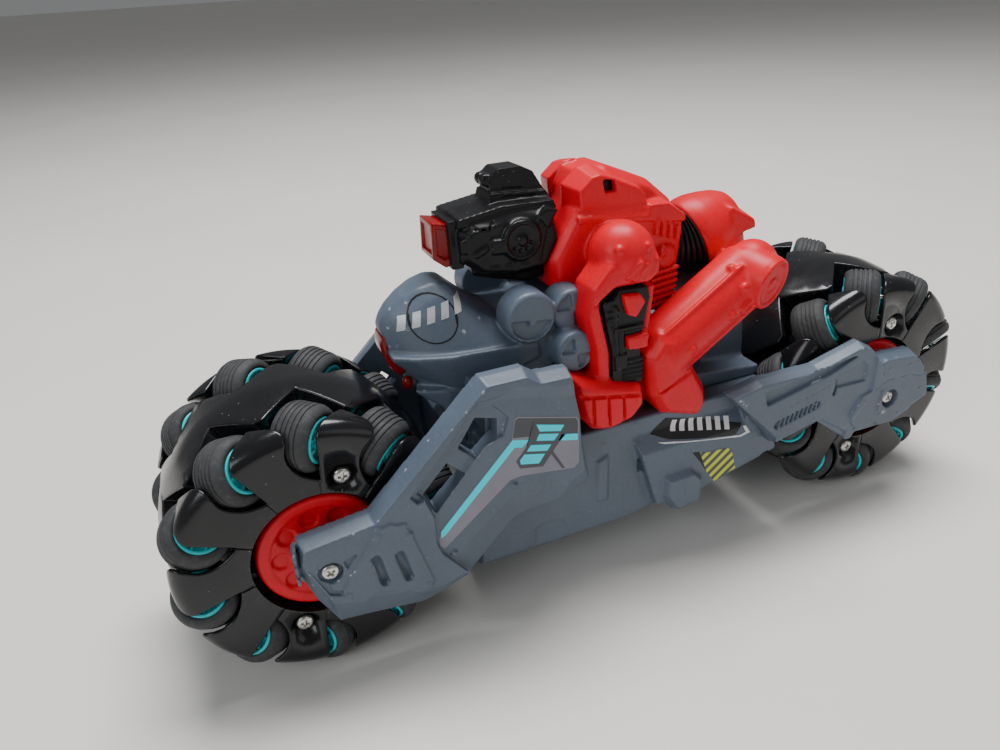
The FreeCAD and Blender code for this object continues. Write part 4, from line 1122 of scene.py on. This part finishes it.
visor_side = [(47.5, 126.0), (54.4, 127.4), (54.8, 116.6), (51.0, 113.5), (47.5, 114.4)]
visor = solid("visor_lens", [slab(visor_side, -5.5, 5.5)])
cheek = slab([(49.2, 116.4), (49.2, 124.6), (53.2, 125.6), (53.3, 117.8), (51.2, 116.0)], 5.0, 7)
carved(visor, [box((53.9, -4.3, 118.0), (58, 4.3, 125.6)), cheek, flip(cheek)])
bevelled(visor, 0.35, 3, 30)
finish(visor, "chassis", lens, "red_lens", "red_lenses", sharp=40)
strip = solid("nose_lens", [slab([(72.4, 95.6), (73.1, 92.6), (72.5, 88.8), (70.6, 84.2), (68.4, 81.4),
                                  (66.2, 82.4), (66.8, 88.0), (68.0, 96.0)], -4.4, 4.4)])
bevelled(strip, 0.7, 4, 30)
finish(strip, "chassis", lens, "red_lens", sharp=40)
beads = solid("nose_beads", both([ball((67.2, 7.4, 80.6), 1.7, (1, 1, 1.3), 28)]))
finish(beads, "chassis", lens, "red_lens")

# ---------------------------------------------------------------- rider: red armour

TORSO = [(20.0, 103.0), (20.6, 112.0), (11.8, 126.6), (-11.4, 126.0), (-26.6, 118.6), (-27.2, 114.0),
         (-25.8, 104.0), (-22.6, 91.0), (-19.0, 87.6), (-8.0, 88.0), (-2.0, 96.0), (12.0, 98.0)]
UPPER_BACK = [(12.0, 125.0), (10.4, 131.0), (7.6, 136.0), (-1.0, 137.0), (-16.5, 130.4), (-25.6, 122.6),
              (-26.2, 116.0)]
PACK_FACE = [(10.2, 126.4), (10.6, 131.6), (6.2, 135.2), (3.6, 135.6), (-1.2, 133.8), (-9.8, 129.8),
             (-12.6, 126.6), (-11.6, 123.2)]
REAR_FACE = [(-12.6, 119.6), (-12.8, 124.4), (-19.2, 124.2), (-25.8, 119.6), (-26.0, 117.4)]
SLEEVE = [(9.5, 114.0), (15.6, 107.4), (17.2, 98.0), (14.6, 87.0), (14.0, 75.0), (8.0, 73.0), (8.4, 86.0),
          (10.6, 95.0), (12.2, 102.0), (7.2, 105.4), (-4.8, 105.0), (-8.6, 108.0), (-8.4, 114.0)]
FIST = [(24.0, 82.0), (14.7, 78.0), (-1.6, 73.0), (-3.0, 66.4), (1.6, 61.4), (9.8, 59.4), (15.7, 60.8),
        (20.4, 66.6), (22.6, 75.9)]
CALF = [(-7.0, 70.0), (-6.5, 65.8), (-10.8, 58.4), (-25.4, 53.5), (-28.2, 58.8), (-27.5, 64.6), (-21.4, 75.0),
        (-12.0, 78.0)]
KNEE = [(-3.4, 80.6), (-5.8, 66.2), (-9.4, 63.0), (-15.0, 68.0), (-20.0, 84.0), (-9.0, 88.0)]
SHOULDER = Vector((0.9, 20.8, 113.2))
HIP_RIM, BELLOWS_TILT = Vector((-39.4, 0, 106.4)), math.radians(23)
RIM_AXIS = Vector((math.cos(BELLOWS_TILT), 0, -math.sin(BELLOWS_TILT)))
THIGH_START, THIGH_END, THIGH = Vector((-12.5, 22.4, 78.6)), Vector((-48.0, 21.4, 100.0)), 10.2
HIP_DISC, HIP_OUT = Vector((-48.6, 31.2, 97.0)), Vector((-4.0, 10.7, -2.4)).normalized()
SHOULDER_STUD = [(0, -1), (1.25, -1), (1.25, 0.6), (0.9, 1.0), (0, 1.15)]
THIGH_STUD = [(0, -1), (1.25, -1), (1.25, 0.6), (0.9, 1.1), (0, 1.2)]
run = (THIGH_END - THIGH_START).normalized()
side_out = (Y_AXIS - run * run.y).normalized()
up_out = side_out.cross(run) * (1 if side_out.cross(run).z > 0 else -1)


def on_thigh(along, around, lift):
    """Point on the thigh: distance from the knee, angle up from the outer side, height above the skin."""
    turn = math.radians(around)
    return THIGH_START + run * along + (side_out * math.cos(turn) + up_out * math.sin(turn)) * (THIGH + lift)


def plump(outline, inner, shoulder, outer, inset):
    """Limb block: straight from inner to shoulder, then drawn in towards its outer face."""
    return [loft(ring(outline, inner), ring(outline, shoulder)),
            loft(ring(outline, shoulder - 0.1), ring(offset(outline, -inset), outer))]


body = plump(TORSO, -0.5, 11.6, 14.2, 2.0) + plump(UPPER_BACK, -0.5, 6.5, 10.4, 2.4)
body += [ball(SHOULDER, 10.2, steps=40), rod((1.5, 8, 112), SHOULDER, 7.0)]
body += plump(SLEEVE, 18.5, 26.6, 29.4, 1.3) + plump(FIST, 20.5, 29.6, 32.8, 2.2)
body += plump(CALF, 17.0, 27.6, 31.0, 2.6) + plump(KNEE, 14.5, 28.0, 31.4, 2.6)
body += [rod(THIGH_START - run * 2, THIGH_END, THIGH, THIGH - 0.3, 56, 1.2),
         ball(THIGH_END, THIGH - 1.0, (1, 0.9, 1), 40),
         rod((-44.6, 20.5, 99.4), HIP_DISC, 9.2, 8.9, 56, 0.7)]
hips = [(0, -2.6), (13.0, -2.6), (13.6, -2.0), (13.9, 1.0), (13.5, 4.0), (12.0, 8.5), (10.0, 13.0),
        (7.6, 16.2), (4.6, 17.8), (0, 18.4)]
verts, faces = turned(hips, HIP_RIM, -RIM_AXIS, 64)
body += [([Vector((v.x, 0.95 * v.y, v.z)) for v in verts], faces), ball((-46.5, 0, 103.0), 12.2, steps=40),
         loft(ring([(-46.5, 119.6), (-59.4, 112.8), (-60.6, 108.6), (-48.0, 106.0)], -0.5),
              ring([(-47.5, 117.4), (-57.6, 111.6), (-58.4, 108.6), (-49.0, 107.0)], 10.5))]
armour = remeshed(solid("rider_armour", both(body)), COARSEST)
smoothed(armour, 9)

adds = [block(PACK_FACE, 4.0, 13.4, 2.0),
        block(REAR_FACE, 4.0, 15.2, 1.8),
        slab([(11.8, 122.6), (11.8, 124.4), (-12.4, 121.6), (-12.4, 119.6)], 9.0, 15.0),
        rod((-19.0, 11, 107.0), (-19.0, 16.0, 107.0), 4.6, 3.8, edge=0.8),
        rod((-17.2, 14, 108.6), (-17.2, 16.6, 108.6), 1.1, edge=0.3)]
side_ribs = []
for step in range(6):
    z = 90.6 + 2.15 * step
    tip = -22.9 - 0.2 * step
    side_ribs.append(slab([(-13.6, z), (-13.6, z + 1.2), (tip, z + 2.1), (tip, z + 0.9)], 10.5, 15.7))
ribs = solid("side_ribs", both(side_ribs))
bevelled(ribs, 0.3, 3, 40)
finish(ribs, "chassis", red, "red_plastic", sharp=50)
for step in range(4):
    x, z = -15.4 - 2.6 * step, 117.4 - 1.0 * step
    adds.append(bar((x, z + 1.3), (x + 0.3, z - 1.9), 0.7, 12.5, 15.8))
for x, z in ((6.6, 117.6), (-3.0, 117.2), (9.2, 112.2)):
    direction = (Vector((x, 29.0, z)) - SHOULDER).normalized()
    adds.append(turned(SHOULDER_STUD, SHOULDER + direction * 9.9, direction, 18))
for near, far in (((4.6, 108.8), (0.2, 113.6)), ((2.4, 107.8), (-2.0, 112.6))):
    ends = [SHOULDER + (Vector((x, 29.6, z)) - SHOULDER).normalized() * 10.6 for x, z in (near, far)]
    adds.append(rod(*ends, 0.95, steps=16, edge=0.2))
for along, around in ((31.7, 20), (23.4, -8), (6.6, -5), (33.0, 62)):
    spot = on_thigh(along, around, -0.3)
    adds.append(turned(THIGH_STUD, spot, spot - (THIGH_START + run * along), 18))
for one, two in (((26.7, -13), (36.4, -4)), ((27.8, -27), (36.6, -26))):
    adds.append(rod(on_thigh(*one, 0.1), on_thigh(*two, 0.1), 1.0, steps=18, edge=0.3))
adds.append(rod(on_thigh(-2.0, -58, 0.0), on_thigh(40.0, -52, 0.0), 0.9, steps=16))
adds.append(rod(on_thigh(0.0, 52, -0.1), on_thigh(36.0, 52, -0.1), 0.8, steps=16))
adds.append(rod(on_thigh(0.5, -38, -0.1), on_thigh(0.5, 20, -0.1), 0.6, steps=16))
hip_ring = [(6.9, -1), (8.6, -1), (8.6, 0.5), (8.0, 0.9), (7.4, 0.9), (6.9, 0.5)]
adds.append(turned(hip_ring, HIP_DISC, HIP_OUT, 56))
adds.append(turned([(0, -1), (2.4, -1), (2.4, 0.4), (2.0, 0.8), (0, 0.8)], HIP_DISC, HIP_OUT, 32))
adds += [rod((-5.4, 26.8, 104.4), (-3.4, 26.6, 84.0), 1.6, steps=20, edge=0.3)]
for outline in ([(6.2, 104.4), (-0.4, 103.8), (-2.4, 100.6), (1.0, 95.6), (4.2, 97.0), (5.6, 101.2)],
                [(4.6, 90.4), (-4.0, 90.6), (-3.6, 84.8), (3.8, 85.4)]):
    adds.append(block(outline, 25.5, 31.0, 0, -0.5))
cuts = [slab([(3.0, 134.2), (-1.3, 133.4), (-2.1, 129.8), (2.0, 130.0)], 9.0, 20)]
for x in (17.0, 11.6, 6.2):
    cuts.append(bar((x, 73.6 - 0.2 * (17 - x)), (x - 0.9, 57.0), 0.55, 31.2, 36, 4))
cuts.append(bar((24.0, 75.4), (-4.0, 69.4), 0.6, 31.4, 36, 4))
cuts.append(bar((17.4, 103.6), (12.4, 101.4), 0.35, 28.4, 34, 3))
cuts.append(bar((-7.6, 67.4), (-24.0, 74.2), 0.5, 30.0, 34, 4))
joined(armour, both(adds))
moulding(armour, MEDIUM, 1, (), both(cuts), 1, 0.45)
finish(armour, "chassis", red, "red_plastic", "rider_red_armour")
socket_side = [(3.3, 134.6), (-1.6, 133.8), (-2.4, 129.4), (2.3, 129.6)]
pit = solid("pack_socket", both([slab(socket_side, 8.4, 10.6)]))
bevelled(pit, 0.25, 2, 40)
finish(pit, "chassis", black, "black_plastic", sharp=40)

# ---------------------------------------------------------------- rider: head, waist and guards

EAR = Vector((31.6, 0, 120.2))
head_half = [(49.4, 115.6), (49.6, 124.6), (45.4, 127.0), (20.0, 128.6), (17.5, 118.0), (22.0, 109.6),
             (34.0, 108.6), (44.0, 110.8)]
shells = [block(head_half, 0.0, 8.5, -1.0),
          block(head_half, 8.4, 11.8, 0, -2.0),
          # Top plate with its sloped sides and front lip.
          loft(ring([(50.6, 125.8), (50.2, 129.0), (36.0, 131.2), (19.0, 130.6), (17.8, 127.4)], 0.0),
               ring([(50.2, 125.8), (49.6, 128.2), (36.0, 130.2), (19.4, 129.6), (18.4, 127.2)], 9.6)),
          loft(ring([(46.4, 124.6), (46.2, 126.8), (36.0, 128.4), (20.4, 128.4), (19.4, 125.4)], 9.4),
               ring([(44.6, 124.4), (44.4, 125.0), (36.0, 125.6), (21.8, 126.2), (21.2, 124.6)], 11.9)),
          # Two-step fin with a knob.
          slab([(39.0, 129.0), (37.6, 133.2), (20.0, 131.8), (17.6, 128.0)], 0.0, 5.6),
          slab([(37.4, 130.0), (37.0, 137.6), (34.4, 139.7), (27.4, 139.5), (23.4, 137.6), (19.4, 131.0)],
               0.0, 4.2),
          rod((37.6, 0.0, 136.4), (37.6, 3.2, 136.4), 1.9, edge=0.6),
          # Visor frame and brow.
          slab([(48.0, 113.0), (51.6, 112.8), (52.2, 127.6), (48.0, 127.4)], 0.0, 7.2),
          slab([(44.5, 119.2), (49.8, 118.6), (50.0, 122.4), (45.0, 123.2)], 8.0, 11.2),
          # Ear: ring, inner disc and the box in front of it.
          turned([(0, -3), (6.1, -3), (6.1, 1.1), (5.6, 1.5), (5.0, 1.5), (4.6, 0.9), (0, 0.9)],
                 EAR + Y_AXIS * 12.0, Y_AXIS),
          rod(EAR + Y_AXIS * 11, EAR + Y_AXIS * 13.8, 1.5, edge=0.3),
          loft(ring([(41.4, 116.8), (41.4, 122.2), (36.2, 122.0), (36.2, 116.6)], 10.5),
               ring([(40.6, 117.6), (40.6, 121.4), (36.6, 121.2), (36.6, 117.2)], 13.1)),
          bar((45.6, 117.9), (42.6, 119.3), 0.7, 9.5, 12.3),
          slab([(22.6, 122.4), (26.0, 126.4), (23.0, 128.4), (19.4, 127.2)], 9.0, 12.5),
          # Jaw, throat and collar.
          slab([(46.0, 111.4), (46.4, 116.4), (22.0, 116.4), (24.0, 110.4)], 0.0, 9.0),
          loft(ring([(43.0, 107.4), (44.4, 112.0), (20.0, 112.4), (16.0, 106.0), (26.0, 103.0)], 0.0),
               ring([(40.0, 108.4), (41.6, 111.0), (22.0, 111.4), (19.0, 107.2), (27.0, 105.0)], 7.6))]
head_cuts = groove([(46.0, 125.2), (41.2, 124.6), (38.8, 127.4), (30.0, 127.8)], 0.6, 10.6, 13)
head_cuts += groove([(43.4, 113.6), (27.0, 112.6)], 0.5, 10.4, 13)
head_cuts += groove([(24.8, 112.8), (22.6, 121.4), (25.4, 125.0)], 0.5, 10.4, 13)
for x, z in arc((EAR.x, EAR.z), 3.1, (200, 240, 280, 320)):
    head_cuts.append(rod((x, 12.2, z), (x, 15, z), 0.62, steps=16))
head_cuts.append(bar((33.4, 133.8), (27.0, 133.2), 0.35, 3.7, 6, 3))
head_cuts.append(bar((35.0, 131.6), (22.4, 130.6), 0.35, 5.2, 8, 3))
HEAD_BACK = Vector((-2.0, 0, 0))
shells, head_cuts = [[([v + HEAD_BACK for v in verts], faces) for verts, faces in group]
                     for group in (shells, head_cuts)]
head = solid("rider_head", both(shells))
remeshed(head, FINE)
moulding(head, FINE, 0, (), both(head_cuts), 2, 0.5)
finish(head, "chassis", black, "black_plastic", "rider_black_parts")

BELLOWS_START, BELLOWS_RADIUS, FOLD_DEPTH = Vector((-24.5, 0, 107.6)), 11.3, 1.9
FOLDS, STEPS, FLATNESS = 6, 72, 0.95
BELLOWS_END = HIP_RIM + RIM_AXIS * 2.1
LEVELS = FOLDS * 8
rows = []
for share in (level / LEVELS for level in range(LEVELS + 1)):
    centre = BELLOWS_START.lerp(BELLOWS_END, share)
    tilt = BELLOWS_TILT * share
    radius = BELLOWS_RADIUS + FOLD_DEPTH * abs(math.sin(math.pi * FOLDS * share)) ** 0.6
    rows.append([centre + Vector((math.sin(tilt) * math.sin(turn), FLATNESS * math.cos(turn),
                                  math.cos(tilt) * math.sin(turn))) * radius
                 for turn in (2 * math.pi * step / STEPS for step in range(STEPS))])
bellows = solid("waist_bellows", [tube(rows)])
finish(bellows, "chassis", black, "black_plastic", "rider_black_parts", sharp=60)

GUARD_FACE = 29.2
guard = [(12.4, 102.8), (8.4, 103.0), (6.2, 105.8), (-3.8, 105.2), (-4.9, 101.0), (-2.8, 92.3), (-2.0, 84.2),
         (-3.2, 72.5), (8.6, 73.4), (9.2, 86.7), (11.2, 95.5)]
shells = [block(guard, 22.0, GUARD_FACE, 0, -0.6)]
shells.append(loft(ring([(9.6, 94.0), (-2.6, 93.6), (-2.4, 91.6), (8.8, 92.0)], 28),
                   ring([(8.8, 93.6), (-2.0, 93.2), (-1.9, 92.2), (8.2, 92.6)], 30.3)))
shells.append(rod((8.0, GUARD_FACE, 100.6), (7.0, GUARD_FACE, 82.6), 0.8, steps=16, edge=0.2))
shells.append(rod((5.4, GUARD_FACE, 93.0), (5.0, GUARD_FACE, 83.0), 0.7, steps=16, edge=0.2))
shells.append(slab([(8.0, 84.6), (3.6, 84.4), (3.8, 79.6), (7.6, 79.4)], 28, 30.2))
for step in range(5):
    z = 75.2 + 1.6 * step
    shells.append(rod((4.6, GUARD_FACE, z), (-2.6, GUARD_FACE, z - 0.4), 0.55, steps=14))
for z in (96.6, 98.8):
    shells.append(rod((10.4, GUARD_FACE, z), (6.6, GUARD_FACE, z), 0.6, steps=14))
guards = solid("arm_guards", both(shells))
moulding(guards, FINE, 1, (), (), 0, 0.5)
finish(guards, "chassis", black, "black_plastic", "rider_black_parts")

# ---------------------------------------------------------------- battery, board and switch

CELL = 49.0
low, high = (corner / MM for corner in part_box("battery_pack"))
radius = (high.z - low.z) / 2
cells, caps = [], []
for sign in (1, -1):
    y = sign * (high.y - radius)
    z = (low.z + high.z) / 2
    profile = [(0, 0.4), (radius - 0.9, 0.4), (radius - 0.2, 0.5), (radius, 1.0), (radius, CELL - 0.8),
               (radius - 0.2, CELL - 0.2), (radius - 1.0, CELL), (0, CELL)]
    cells.append(turned(profile, (low.x, y, z), (1, 0, 0), 56))
    caps.append(rod((low.x + CELL - 0.2, y, z), (high.x, y, z), 2.7, edge=0.25))
    caps.append(rod((low.x + 0.05, y, z), (low.x + 0.6, y, z), 4.6, edge=0.15))
finish(solid("cells", cells), "chassis", cell_sleeve, "cell_sleeve", "battery_pack", sharp=40)
finish(solid("cell_ends", caps), "chassis", steel, "steel", sharp=40)
for node, material in (("control_board", board_green), ("power_switch", black)):
    data = frame["nodes"][node].data
    data.materials.clear()
    data.materials.append(material)

FLOOR_RADIUS = 9.0
bm = bmesh.new()
bmesh.ops.create_circle(bm, cap_ends=True, segments=96, radius=FLOOR_RADIUS)
floor_mesh = bpy.data.meshes.new("floor")
bm.to_mesh(floor_mesh)
bm.free()
floor_mesh.materials.append(floor_material())
floor = link("floor", floor_mesh)
floor.location.z = cad_box[0][2]
